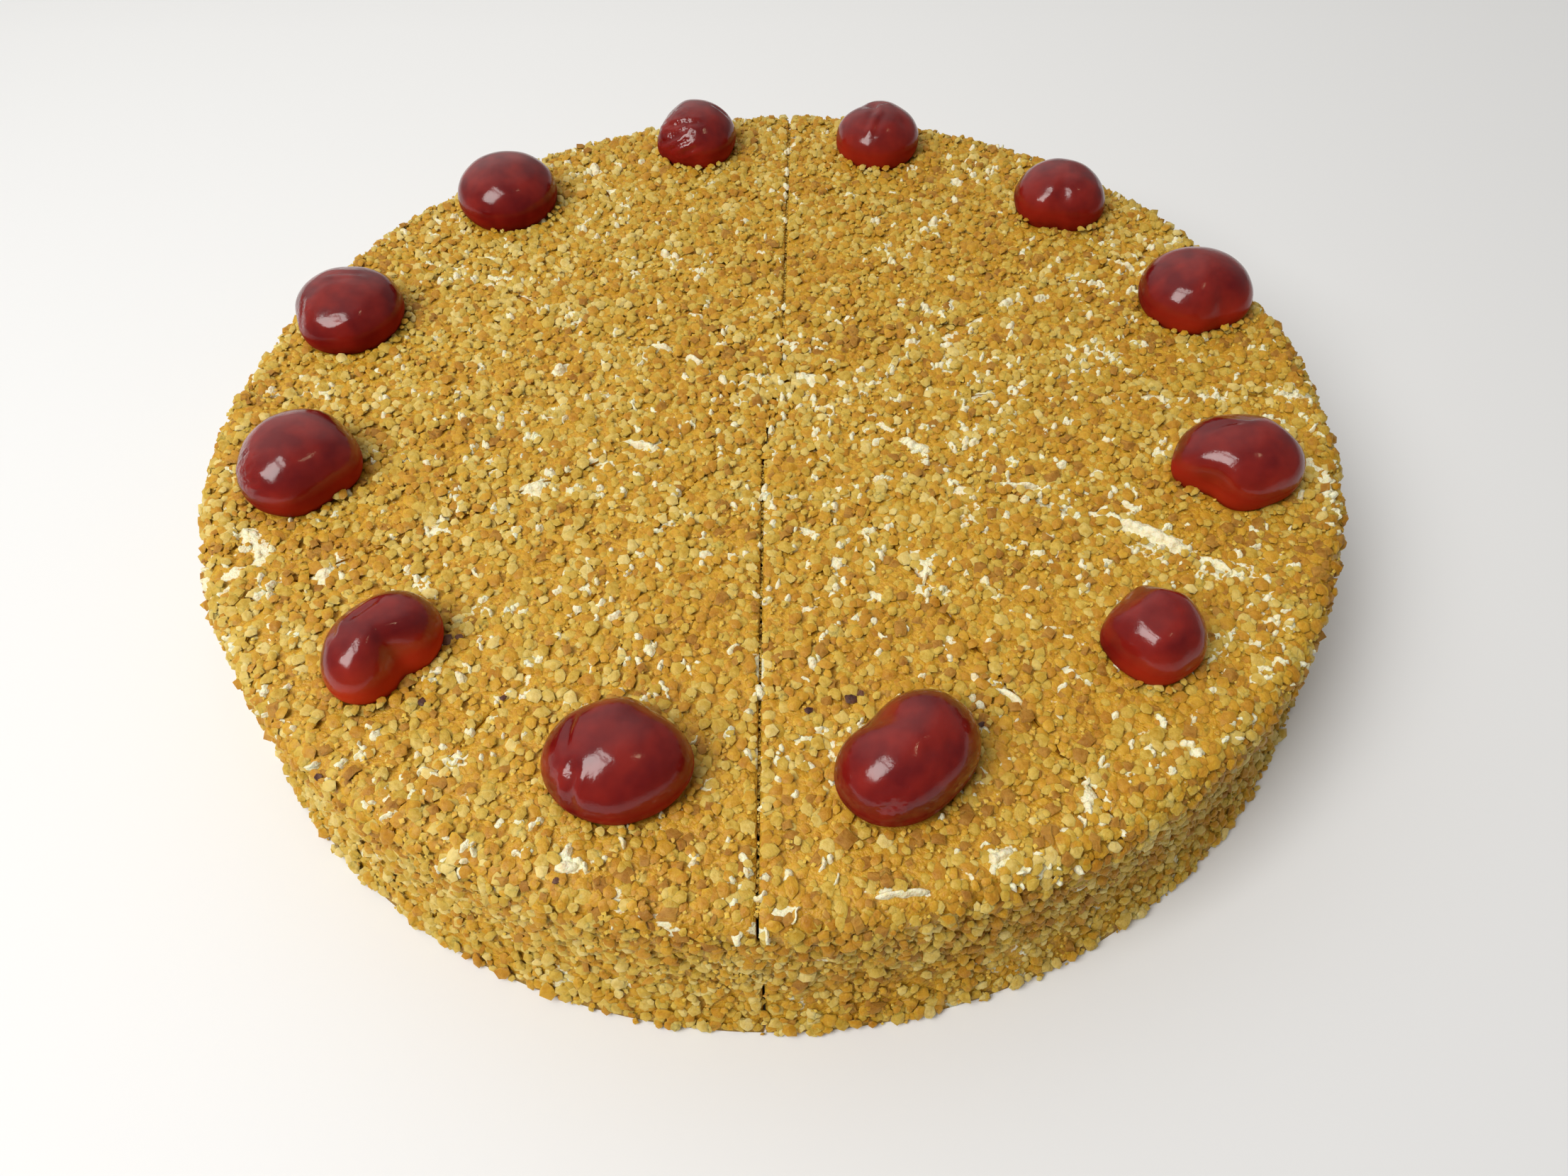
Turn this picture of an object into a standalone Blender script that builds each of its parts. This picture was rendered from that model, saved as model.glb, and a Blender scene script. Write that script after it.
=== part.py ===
"""Cherry cream torte: a round cake in a coat of nut krokant, cut in twelve slices, a glace cherry on each.

The torte stands on Z = 0 around the Z axis. Slices and cherries are numbered counterclockwise, seen from
above, from the one just past +X. All lengths below are in millimetres and all angles in degrees.
"""

import math
import random

import bmesh
import bpy
from mathutils import Euler, Vector

METRES = 0.001

SLICE_COUNT = 12
SLICE_ANGLE = 360.0 / SLICE_COUNT

# The body, to the mean face of its krokant
TOP_HEIGHT = 38.3
RIM_RADIUS = 120.2
RIM_ROUNDING = 4.2
RIM_TURNS = (35.0, 70.0)
WAIST_RADIUS = 119.5
FOOT_RADIUS = 125.8
FOOT_FLARE_HEIGHT = 17.0
TIP_DISTANCE = 1.8

# Knife cuts: a closed cut is only as wide as the blade, two of them have opened a little
CLOSED_CUT = 0.3
OPEN_CUTS = {3: 0.7, 9: 0.6}
# Where a cut wanders off its ray: sideways at the bend and at the rim, counterclockwise is plus
CUT_BEND_DISTANCE = 20.0
CUT_WANDER = {3: (-2.1, -2.1), 9: (-1.4, 0.8)}

# How far a slice's upper rim stands out, and how far its top stands up
RIM_PUSH = {6: 1.2, 7: 0.6}
TOP_LIFT = {1: 0.2, 4: -0.2, 6: 0.3, 9: -0.2, 10: 0.3}

# Krokant relief of the coat
GRID_STEP = 5.4
BUMP_HEIGHT = 1.0
BUMP_JITTER = 0.22
CUT_EDGE_DROP = 0.4

# The largest nut pieces of the krokant
TOP_GRAINS = 6
SIDE_GRAINS = 4
GRAIN_HALF_SIZES = (1.6, 2.4)
GRAIN_LIFT = 0.1
GRAIN_STRETCH = ((0.78, 1.0), (0.65, 0.85))
GRAIN_ROUGHNESS = (0.86, 1.12)
GRAIN_TRIES = 40
GRAIN_CLEARANCE = 0.8
# The part of the wall's height where grains are fused on
SIDE_GRAIN_BAND = (0.12, 0.9)

# Cherries, and the flat seat that each has pressed into the krokant
SEAT_DEPTH = 0.8
SEAT_MARGIN = 1.6
SEAT_SKIRT = 5.0
CHERRY_GAP = 0.3
CHERRY_WIDEST = 0.32
CHERRY_UNDERCUT = 0.6
CHERRY_FLATNESS = 0.85
CHERRY_FLAT_EDGE = 0.9
CHERRY_SIDES = 16
CHERRY_RINGS = (-14.0, 8.0, 27.0, 45.0, 62.0, 77.0)

# distance: from the axis; aside: counterclockwise from its slice's middle line; width, depth: across X and Y
# before the turn; notches: direction, share of the radius, spread, where a share below zero is a bulge, and
# fade: how far they fade toward the crown;
# flats: direction and rise that a pressed face looks toward, share of the reach left; dents: direction, rise,
# depth, reach
CHERRIES = (
    {"distance": 102.5, "aside": 2.0, "width": 25.6, "depth": 24.6, "height": 13.4,
     "notches": ((292, 0.12, 22),), "flats": (), "dents": ((294, 24, 1.0, 4.5),)},
    {"distance": 100.0, "aside": -1.0, "width": 22.4, "depth": 22.4, "height": 12.6,
     "notches": ((262, 0.15, 20), (238, 0.04, 22), (322, -0.08, 24)), "flats": ((228, 50, 0.94),),
     "dents": ()},
    {"distance": 102.7, "aside": 0.0, "width": 22.6, "depth": 22.6, "height": 12.8,
     "notches": ((128, 0.10, 22),), "flats": (), "dents": ((125, 70, 0.9, 2.6),)},
    {"distance": 103.0, "aside": -2.0, "width": 21.4, "depth": 23.2, "height": 13.1,
     "notches": ((262, 0.06, 20), (165, 0.08, 22), (208, -0.08, 16)), "flats": ((150, 50, 0.93),),
     "dents": ((228, 34, 0.7, 3.6),)},
    {"distance": 102.4, "aside": -1.0, "width": 25.6, "depth": 26.0, "height": 13.6,
     "notches": (), "flats": (), "dents": ()},
    {"distance": 102.7, "aside": 1.2, "width": 24.9, "depth": 25.4, "height": 13.0,
     "notches": ((205, 0.08, 18),), "flats": ((285, 66, 0.88), (212, 34, 0.91)),
     "dents": ((60, 65, 0.5, 5.0),)},
    {"distance": 99.3, "aside": -0.1, "width": 24.4, "depth": 26.0, "height": 13.6,
     "notches": ((315, 0.12, 30), (45, 0.07, 28), (352, -0.04, 16)), "flats": (),
     "dents": ((200, 40, 0.4, 4.0),)},
    {"distance": 98.0, "aside": 1.4, "width": 18.8, "depth": 23.2, "height": 12.6, "turn": -28,
     "notches": ((316, 0.34, 36), (20, -0.03, 26)), "flats": (),
     "dents": ((130, 60, 0.6, 4.0), (318, 22, 1.2, 5.0))},
    {"distance": 95.6, "aside": 1.1, "width": 24.8, "depth": 22.4, "height": 13.2,
     "notches": ((50, 0.16, 30), (120, 0.07, 25), (350, -0.04, 24)), "flats": (),
     "dents": ((165, 48, 0.7, 4.0),)},
    {"distance": 95.5, "aside": 0.0, "width": 26.7, "depth": 20.8, "height": 14.4, "turn": 40,
     "notches": ((138, 0.14, 34), (318, 0.05, 30)), "flats": (), "dents": ((140, 50, 1.2, 5.5),)},
    {"distance": 97.1, "aside": 0.7, "width": 17.6, "depth": 18.8, "height": 12.6,
     "notches": ((135, 0.08, 22), (180, -0.07, 16), (90, -0.05, 20), (230, 0.04, 20), (300, 0.04, 16)),
     "flats": ((245, 77, 0.88), (135, 42, 0.86), (75, 40, 0.86)), "dents": ()},
    {"distance": 97.8, "aside": 0.0, "width": 25.2, "depth": 22.0, "height": 13.4, "fade": 1.0,
     "notches": ((224, 0.24, 24), (300, 0.06, 22), (188, -0.09, 14)),
     "flats": ((90, 55, 0.92), (30, 42, 0.90)), "dents": ((100, 66, 0.6, 4.0),)},
)

KROKANT_COLOUR = (0.49, 0.25, 0.045, 1.0)
CHERRY_COLOUR = (0.16, 0.008, 0.010, 1.0)


def polar(distance, angle):
    return Vector((distance * math.cos(math.radians(angle)), distance * math.sin(math.radians(angle))))


def blend(a, b, share):
    return a + (b - a) * share


def eased(share):
    share = min(max(share, 0.0), 1.0)
    return share * share * (3.0 - 2.0 * share)


def turned_apart(a, b):
    """The smallest turn between two directions."""
    return abs((a - b + 180.0) % 360.0 - 180.0)


def cherry_place(index):
    cherry = CHERRIES[index]
    return polar(cherry["distance"], (index + 0.5) * SLICE_ANGLE + cherry["aside"])


def cut_wander(cut, distance):
    """How far a cut has left its ray, counterclockwise, at this distance from the axis."""
    at_bend, at_rim = CUT_WANDER.get(cut, (0.0, 0.0))
    past_bend = max(0.0, distance - CUT_BEND_DISTANCE) / (RIM_RADIUS - CUT_BEND_DISTANCE)
    return at_bend * min(distance / CUT_BEND_DISTANCE, 1.0) + (at_rim - at_bend) * past_bend


def cut_face_point(cut, distance, side):
    """Point on the wall of a cut: side is 1 on its counterclockwise wall and -1 on the other."""
    cut %= SLICE_COUNT
    along = polar(1.0, cut * SLICE_ANGLE)
    across = Vector((-along.y, along.x))
    half_width = OPEN_CUTS.get(cut, CLOSED_CUT) / 2.0
    return along * distance + across * (cut_wander(cut, distance) + side * half_width)


def slice_point(index, distance, share):
    """Point of a slice in plan, from one cut's wall (share 0) to the next cut's (share 1)."""
    start = cut_face_point(index, distance, 1)
    end = cut_face_point(index + 1, distance, -1)
    if share in (0.0, 1.0):
        return start if share == 0.0 else end
    start_angle = math.degrees(math.atan2(start.y, start.x))
    end_angle = math.degrees(math.atan2(end.y, end.x))
    sweep = (end_angle - start_angle) % 360.0
    return polar(blend(start.length, end.length, share), start_angle + sweep * share)


def side_radius(index, height):
    """The wall's mean radius: a slight waist, a flared foot and a rim that overhangs on some slices."""
    flare = max(0.0, 1.0 - height / FOOT_FLARE_HEIGHT)
    rise = eased(height / TOP_HEIGHT)
    radius = WAIST_RADIUS + (FOOT_RADIUS - WAIST_RADIUS) * flare * flare
    return radius + (RIM_RADIUS - WAIST_RADIUS + RIM_PUSH.get(index, 0.0)) * rise


def coat_rows(index):
    """The coat's rows from the tip over the rim to the foot: distance, height and kind."""
    top = top_height(index)
    flat_end = side_radius(index, top) - RIM_ROUNDING
    steps = round((flat_end - TIP_DISTANCE) / GRID_STEP)
    distances = [blend(TIP_DISTANCE, flat_end, step / steps) for step in range(steps + 1)]
    # one row lies exactly on the bend of the cuts
    nearest = min(range(1, steps), key=lambda i: abs(distances[i] - CUT_BEND_DISTANCE))
    distances[nearest] = CUT_BEND_DISTANCE
    rows = [(distance, top, "top") for distance in distances]
    for turn in map(math.radians, RIM_TURNS):
        distance = flat_end + RIM_ROUNDING * math.sin(turn)
        rows.append((distance, top - RIM_ROUNDING * (1.0 - math.cos(turn)), "rim"))
    wall = top - RIM_ROUNDING
    levels = round(wall / GRID_STEP)
    for level in range(levels + 1):
        height = wall * (1.0 - level / levels)
        kind = {0: "rim", levels: "foot"}.get(level, "side")
        rows.append((side_radius(index, height), height, kind))
    return rows


def coat_point(index, row, share, spacing, draw):
    """One vertex of the coat, with its share of the krokant's relief."""
    distance, height, kind = row
    inside = 0.0 < share < 1.0
    bump = draw.uniform(-1.0, 1.0) * BUMP_HEIGHT
    if inside:
        share += draw.uniform(-1.0, 1.0) * BUMP_JITTER * spacing
    if kind == "top":
        if inside and distance not in (TIP_DISTANCE, CUT_BEND_DISTANCE):
            distance += draw.uniform(-1.0, 1.0) * BUMP_JITTER * GRID_STEP
        height += bump if inside else bump * 0.5 - CUT_EDGE_DROP
    else:
        distance += bump
        if kind == "side" and inside:
            height += draw.uniform(-1.0, 1.0) * BUMP_JITTER * GRID_STEP
        if kind == "rim":
            height += bump * 0.5
    place = slice_point(index, distance, share)
    if kind == "top":
        height = seated_height(index, place, height)
    return Vector((place.x, place.y, height))


def seated_height(index, place, height):
    """The top's height, pressed flat under the cherry and kept low around it."""
    cherry = CHERRIES[index]
    reach = max(cherry["width"], cherry["depth"]) / 2.0 + SEAT_MARGIN
    away = (place - cherry_place(index)).length
    if away < reach:
        return seat_height(index)
    if away < reach + SEAT_SKIRT:
        return min(height, seat_height(index) + SEAT_DEPTH * (away - reach) / SEAT_SKIRT)
    return height


def top_height(index):
    return TOP_HEIGHT + TOP_LIFT.get(index, 0.0)


def seat_height(index):
    return top_height(index) - SEAT_DEPTH


def bridge_rows(mesh, inner, outer):
    """Triangles between two rows of vertices that run the same way and may differ in number."""
    i = 0
    j = 0
    while i < len(inner) - 1 or j < len(outer) - 1:
        inner_share = (i + 1) / (len(inner) - 1) if i < len(inner) - 1 else 2.0
        outer_share = (j + 1) / (len(outer) - 1) if j < len(outer) - 1 else 2.0
        if outer_share <= inner_share:
            mesh.faces.new((inner[i], outer[j], outer[j + 1]))
            j += 1
        else:
            mesh.faces.new((inner[i], outer[j], inner[i + 1]))
            i += 1


def cut_wall_faces(mesh, edge, tip_foot, bend_foot, bend_row):
    """The two flat faces of a cut wall: from the tip to the bend, and from the bend to the foot."""
    mesh.faces.new([tip_foot, *edge[:bend_row + 1], bend_foot])
    mesh.faces.new([bend_foot, *edge[bend_row:]])


def slice_mesh(index):
    """A closed slice: relief on its top and outer wall, flat walls where the knife went, a flat base."""
    draw = random.Random(100 + index)
    rows = coat_rows(index)
    mesh = bmesh.new()
    grid = []
    for row in rows:
        arc = math.radians(SLICE_ANGLE) * row[0]
        count = max(1, round(arc / GRID_STEP))
        points = [coat_point(index, row, step / count, 1.0 / count, draw) for step in range(count + 1)]
        grid.append([mesh.verts.new(point) for point in points])
    for inner, outer in zip(grid, grid[1:]):
        bridge_rows(mesh, inner, outer)

    bend_row = next(i for i, row in enumerate(rows) if row[0] == CUT_BEND_DISTANCE)
    base = {}
    for share in (0.0, 1.0):
        base[share] = [mesh.verts.new(slice_point(index, distance, share).to_3d())
                       for distance in (TIP_DISTANCE, CUT_BEND_DISTANCE)]
    cut_wall_faces(mesh, [row[0] for row in grid], *base[0.0], bend_row)
    cut_wall_faces(mesh, [row[-1] for row in grid], *base[1.0], bend_row)
    mesh.faces.new((base[0.0][0], grid[0][0], grid[0][-1], base[1.0][0]))
    mesh.faces.new([*base[0.0], *grid[-1], *reversed(base[1.0])])
    bmesh.ops.recalc_face_normals(mesh, faces=mesh.faces)
    bmesh.ops.triangulate(mesh, faces=[face for face in mesh.faces if len(face.verts) > 3])
    return mesh


def grain_mesh(place, size, draw):
    """A chopped nut: an uneven block with blunt corners."""
    mesh = bmesh.new()
    bmesh.ops.create_icosphere(mesh, subdivisions=1, radius=1.0)
    turn = Euler([draw.uniform(0.0, math.tau) for _ in range(3)]).to_matrix()
    stretch = Vector((size, *(size * draw.uniform(*limits) for limits in GRAIN_STRETCH)))
    for vert in mesh.verts:
        rough = Vector([draw.uniform(*GRAIN_ROUGHNESS) for _ in range(3)])
        vert.co = turn @ (vert.co * stretch * rough) + place
    return mesh


def top_grain_place(index, draw):
    distance = math.sqrt(draw.uniform(0.02, 1.0)) * (RIM_RADIUS - RIM_ROUNDING)
    place = slice_point(index, distance, draw.uniform(0.0, 1.0))
    return Vector((place.x, place.y, top_height(index) + GRAIN_LIFT))


def side_grain_place(index, draw):
    height = draw.uniform(*SIDE_GRAIN_BAND) * TOP_HEIGHT
    place = slice_point(index, side_radius(index, height) + GRAIN_LIFT, draw.uniform(0.0, 1.0))
    return Vector((place.x, place.y, height))


def clear_of_neighbours(index, place, size):
    """Whether a grain keeps off both cuts and off the cherry."""
    room = size * GRAIN_ROUGHNESS[1] + GRAIN_CLEARANCE
    for cut, side in ((index, 1), (index + 1, -1)):
        nearest = min((cut_face_point(cut, distance, side) - place.xy).length
                      for distance in range(0, round(FOOT_RADIUS) + 2))
        if nearest < room:
            return False
    cherry = CHERRIES[index]
    cherry_reach = max(cherry["width"], cherry["depth"]) / 2.0
    away = (place.xy - cherry_place(index)).length
    return away > cherry_reach + room or place.z < TOP_HEIGHT - 2.0 * RIM_ROUNDING


def spread_places(index, count, pick_place, draw):
    """Grain places that keep as far from each other as random tries allow, largest grain first."""
    chosen = []
    for number in range(count):
        size = blend(GRAIN_HALF_SIZES[1], GRAIN_HALF_SIZES[0], number / max(1, count - 1))
        tries = [pick_place(index, draw) for _ in range(GRAIN_TRIES)]
        tries = [place for place in tries if clear_of_neighbours(index, place, size)]
        if chosen:
            tries.sort(key=lambda place: -min((place - other).length for other, _ in chosen))
        chosen.append((tries[0], size))
    return chosen


def new_object(name, mesh, material):
    """An object from a mesh in millimetres."""
    bmesh.ops.scale(mesh, vec=Vector((METRES, METRES, METRES)), verts=mesh.verts)
    data = bpy.data.meshes.new(name)
    mesh.to_mesh(data)
    mesh.free()
    data.materials.append(material)
    item = bpy.data.objects.new(name, data)
    bpy.context.scene.collection.objects.link(item)
    return item


def fuse_grains(body, grains, material):
    """Joins the nut pieces to the slice in one union and removes the loose ones."""
    holder = bpy.data.collections.new("nut pieces")
    bpy.context.scene.collection.children.link(holder)
    pieces = [new_object("nut piece", mesh, material) for mesh in grains]
    for piece in pieces:
        bpy.context.scene.collection.objects.unlink(piece)
        holder.objects.link(piece)
    union = body.modifiers.new("nut pieces", "BOOLEAN")
    union.operation = "UNION"
    union.operand_type = "COLLECTION"
    union.collection = holder
    union.solver = "EXACT"
    graph = bpy.context.evaluated_depsgraph_get()
    fused = bpy.data.meshes.new_from_object(body.evaluated_get(graph))
    body.modifiers.clear()
    body.data = fused
    for piece in pieces:
        bpy.data.objects.remove(piece)
    bpy.data.collections.remove(holder)


def build_slice(index, material):
    name = f"slice_{index + 1:02d}"
    body = new_object(name, slice_mesh(index), material)
    draw = random.Random(500 + index)
    places = spread_places(index, TOP_GRAINS, top_grain_place, draw)
    places += spread_places(index, SIDE_GRAINS, side_grain_place, draw)
    grains = [grain_mesh(place, size, draw) for place, size in places]
    fuse_grains(body, grains, material)
    body.data.name = name
    return body


def cherry_point(cherry, direction, rise):
    """Point of a cherry's skin: direction around it, rise from its widest ring up (90) or down."""
    turn = cherry.get("turn", 0.0)
    local = math.radians(direction - turn)
    half_width = cherry["width"] / 2.0
    half_depth = cherry["depth"] / 2.0
    radius = 1.0 / math.hypot(math.cos(local) / half_width, math.sin(local) / half_depth)
    lift = math.sin(math.radians(rise))
    fading = 1.0 - cherry.get("fade", 0.0) * max(0.0, lift)
    for notch, share, spread in cherry["notches"]:
        away = turned_apart(direction, notch) / spread
        radius *= 1.0 - share * fading * math.exp(-away * away)
    widest = CHERRY_WIDEST * cherry["height"]
    span = cherry["height"] - widest if rise > 0.0 else CHERRY_UNDERCUT * cherry["height"]
    place = polar(radius * math.cos(math.radians(rise)), direction)
    return Vector((place.x, place.y, widest + span * lift))


def pressed_faces(cherry, centre):
    """Each face that was pressed flat: the way it looks, and how far it lies from the centre."""
    skin = [cherry_point(cherry, direction, rise) - centre
            for rise in range(0, 91, 10) for direction in range(0, 360, 10)]
    faces = []
    for direction, rise, share in cherry["flats"]:
        flat, up = polar(math.cos(math.radians(rise)), direction), math.sin(math.radians(rise))
        facing = Vector((flat.x, flat.y, up))
        faces.append((facing, share * max(place.dot(facing) for place in skin)))
    return faces


def dented(cherry, point):
    """A skin point pressed in by the cherry's flats and dents."""
    centre = Vector((0.0, 0.0, CHERRY_WIDEST * cherry["height"]))
    moved = point.copy()
    for facing, reach in pressed_faces(cherry, centre):
        excess = max(0.0, (moved - centre).dot(facing) - reach)
        moved -= facing * CHERRY_FLATNESS * excess * excess / (excess + CHERRY_FLAT_EDGE)
    for direction, rise, depth, reach in cherry["dents"]:
        away = (point - cherry_point(cherry, direction, rise)).length / reach
        moved -= (point - centre).normalized() * depth * math.exp(-away * away)
    return moved


def cherry_mesh(cherry):
    """Half a glace cherry: a domed skin that rolls under to a flat face."""
    base_rise = -math.degrees(math.asin(CHERRY_WIDEST / CHERRY_UNDERCUT))
    mesh = bmesh.new()
    rings = []
    for number, rise in enumerate((base_rise, *CHERRY_RINGS)):
        ring = []
        for side in range(CHERRY_SIDES):
            direction = (side + 0.5 * (number % 2)) * 360.0 / CHERRY_SIDES
            point = cherry_point(cherry, direction, rise)
            ring.append(mesh.verts.new(point if number == 0 else dented(cherry, point)))
        rings.append(ring)
    for number, (lower, upper) in enumerate(zip(rings, rings[1:])):
        for side in range(CHERRY_SIDES):
            after = (side + 1) % CHERRY_SIDES
            if number % 2 == 0:
                mesh.faces.new((lower[side], lower[after], upper[side]))
                mesh.faces.new((lower[after], upper[after], upper[side]))
            else:
                mesh.faces.new((lower[side], upper[after], upper[side]))
                mesh.faces.new((lower[side], lower[after], upper[after]))
    crown = mesh.verts.new(dented(cherry, cherry_point(cherry, 0.0, 90.0)))
    for side in range(CHERRY_SIDES):
        mesh.faces.new((rings[-1][side], rings[-1][(side + 1) % CHERRY_SIDES], crown))
    mesh.faces.new(list(reversed(rings[0])))
    bmesh.ops.recalc_face_normals(mesh, faces=mesh.faces)
    return mesh


def build_cherry(index, material):
    name = f"cherry_{index + 1:02d}"
    item = new_object(name, cherry_mesh(CHERRIES[index]), material)
    place = cherry_place(index)
    item.location = Vector((place.x, place.y, seat_height(index) + CHERRY_GAP)) * METRES
    item.data.shade_smooth()
    return item


def principled(name, colour, roughness):
    material = bpy.data.materials.new(name)
    material.use_nodes = True
    shader = material.node_tree.nodes["Principled BSDF"]
    shader.inputs["Base Color"].default_value = colour
    shader.inputs["Roughness"].default_value = roughness
    material.diffuse_color = colour
    return material


def main():
    for item in list(bpy.data.objects):
        bpy.data.objects.remove(item)
    krokant = principled("nut krokant", KROKANT_COLOUR, 0.6)
    glace = principled("glace cherry", CHERRY_COLOUR, 0.15)
    torte = bpy.data.objects.new("torte", None)
    bpy.context.scene.collection.objects.link(torte)
    for index in range(SLICE_COUNT):
        build_slice(index, krokant).parent = torte
        build_cherry(index, glace).parent = torte


main()
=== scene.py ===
# Cherry cream torte with a coat of nut krokant: the looks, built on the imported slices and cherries
import math

import bpy
import numpy as np
from mathutils import Matrix, Vector


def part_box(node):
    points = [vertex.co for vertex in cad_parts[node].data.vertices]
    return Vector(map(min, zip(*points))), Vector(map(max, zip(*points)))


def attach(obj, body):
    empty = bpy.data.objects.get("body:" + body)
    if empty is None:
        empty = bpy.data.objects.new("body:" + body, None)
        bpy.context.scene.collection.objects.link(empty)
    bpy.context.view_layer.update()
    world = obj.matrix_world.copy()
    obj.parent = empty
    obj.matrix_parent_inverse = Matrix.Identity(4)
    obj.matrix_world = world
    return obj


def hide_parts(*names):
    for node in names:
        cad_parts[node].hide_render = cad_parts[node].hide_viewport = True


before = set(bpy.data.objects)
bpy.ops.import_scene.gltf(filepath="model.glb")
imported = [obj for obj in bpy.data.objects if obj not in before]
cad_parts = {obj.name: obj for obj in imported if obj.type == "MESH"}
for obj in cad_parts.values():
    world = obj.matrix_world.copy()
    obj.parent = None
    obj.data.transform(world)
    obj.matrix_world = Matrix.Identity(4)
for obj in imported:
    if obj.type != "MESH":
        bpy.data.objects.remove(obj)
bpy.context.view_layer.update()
mm = 0.001
sliceCount = 12
sliceAngle = math.tau / sliceCount
sliceDegrees = 360.0 / sliceCount
draw = np.random.default_rng(2412)


# Small maths that several pieces share

latticePrimes = {"x": 374761393, "y": 668265263, "z": 2246822519, "seed": 3266489917, "mix": 1274126177}
latticeShift = 4096.0  # keeps every lattice point above zero
seeds = {  # one for each pattern, so that no two of them are alike
    "coat": 3, "fineCoat": 4, "gaps": 7, "fineGaps": 8, "upperDrift": 21, "fineDrift": 25, "raggedStreak": 31,
    "kinds": 41, "fineKinds": 42, "closeKinds": 43, "tone": 45, "streakWidth": 51, "streakBend": 52,
    "streakCrest": 53, "cherry": 61, "collarHeaps": 71, "edgeHeaps": 81,
}


def eased(share):
    share = np.clip(share, 0.0, 1.0)
    return share * share * (3.0 - 2.0 * share)


def unit(vectors):
    return vectors / np.linalg.norm(vectors, axis=-1, keepdims=True)


def pointing(azimuth, rise):
    # a direction from its azimuth and its rise in degrees
    turn = math.radians(azimuth)
    up = math.radians(rise)
    return math.cos(turn) * math.cos(up), math.sin(turn) * math.cos(up), math.sin(up)


def degreesAway(direction, other):
    return np.abs((direction - other + 180.0) % 360.0 - 180.0)


def latticeValue(ix, iy, iz, seed):
    # the same number from 0 to 1 for a lattice point each run
    mask = np.uint64(0xFFFFFFFF)
    primes = {name: np.uint64(prime) for name, prime in latticePrimes.items()}
    mixed = ix.astype(np.uint64) * primes["x"] + iy.astype(np.uint64) * primes["y"]
    mixed = (mixed + iz.astype(np.uint64) * primes["z"] + np.uint64(seed * latticePrimes["seed"])) & mask
    mixed = ((mixed ^ (mixed >> np.uint64(13))) * primes["mix"]) & mask
    mixed = ((mixed ^ (mixed >> np.uint64(15))) * primes["z"]) & mask
    return (mixed ^ (mixed >> np.uint64(16))) / float(0xFFFFFFFF)


def softNoise(points, size, seed):
    # smooth noise from -1 to 1 with features of about this size
    scaled = np.asarray(points, float) / size + latticeShift
    cell = np.floor(scaled).astype(np.int64)
    part = scaled - cell
    part = part * part * (3.0 - 2.0 * part)
    total = np.zeros(len(scaled))
    for dx in (0, 1):
        for dy in (0, 1):
            for dz in (0, 1):
                weight = np.where(dx, part[:, 0], 1 - part[:, 0]) * np.where(dy, part[:, 1], 1 - part[:, 1])
                weight = weight * np.where(dz, part[:, 2], 1 - part[:, 2])
                total += weight * latticeValue(cell[:, 0] + dx, cell[:, 1] + dy, cell[:, 2] + dz, seed)
    return total * 2.0 - 1.0


def meshObject(name, points, faces, material):
    data = bpy.data.meshes.new(name)
    if isinstance(faces, np.ndarray):  # triangles in one array, the quick way in
        count = len(faces)
        data.vertices.add(len(points))
        data.vertices.foreach_set("co", np.asarray(points, np.float32).ravel())
        data.loops.add(count * 3)
        data.loops.foreach_set("vertex_index", faces.astype(np.int32).ravel())
        data.polygons.add(count)
        data.polygons.foreach_set("loop_start", np.arange(0, count * 3, 3, dtype=np.int32))
        data.update(calc_edges=True)
    else:
        data.from_pydata([tuple(p) for p in points], [], faces)
    data.validate()
    data.polygons.foreach_set("use_smooth", [True] * len(data.polygons))
    data.materials.append(material)
    item = bpy.data.objects.new(name, data)
    bpy.context.scene.collection.objects.link(item)
    return item


def storeNumbers(item, name, values):
    layer = item.data.attributes.new(name, "FLOAT", "POINT")
    layer.data.foreach_set("value", np.asarray(values, np.float32))


# The torte's form. The sizes are the slices' own, and the cream lies under the krokant by its depth
torteForm = {
    "topHeight": 38.3 * mm,
    "rimRadius": 120.2 * mm,
    "rimRounding": 4.2 * mm,
    "waistRadius": 119.5 * mm,
    "footRadius": 124.9 * mm,
    "footFlareHeight": 17.0 * mm,
    "tipDistance": 1.8 * mm,
    "krokantDepth": 0.5 * mm,
    "cutBend": 20.0 * mm,
    "closedCut": 0.3 * mm,
    "openCuts": {3: 0.6 * mm, 9: 0.5 * mm},
    "cutWander": {3: (-2.1 * mm, -2.1 * mm), 9: (-1.4 * mm, 0.8 * mm)},
    "rimPush": {6: 1.2 * mm, 7: 0.6 * mm},
    "topLift": {1: 0.2 * mm, 4: -0.2 * mm, 6: 0.3 * mm, 9: -0.2 * mm, 10: 0.3 * mm},
}


def perSlice(name, slices):
    table = np.array([torteForm[name].get(k, 0.0) for k in range(sliceCount)])
    return table[np.asarray(slices) % sliceCount]


def wallRadius(height):
    form = torteForm
    flare = np.clip(1.0 - height / form["footFlareHeight"], 0.0, 1.0)
    radius = form["waistRadius"] + (form["footRadius"] - form["waistRadius"]) * flare ** 2
    return radius + (form["rimRadius"] - form["waistRadius"]) * eased(height / form["topHeight"])


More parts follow.
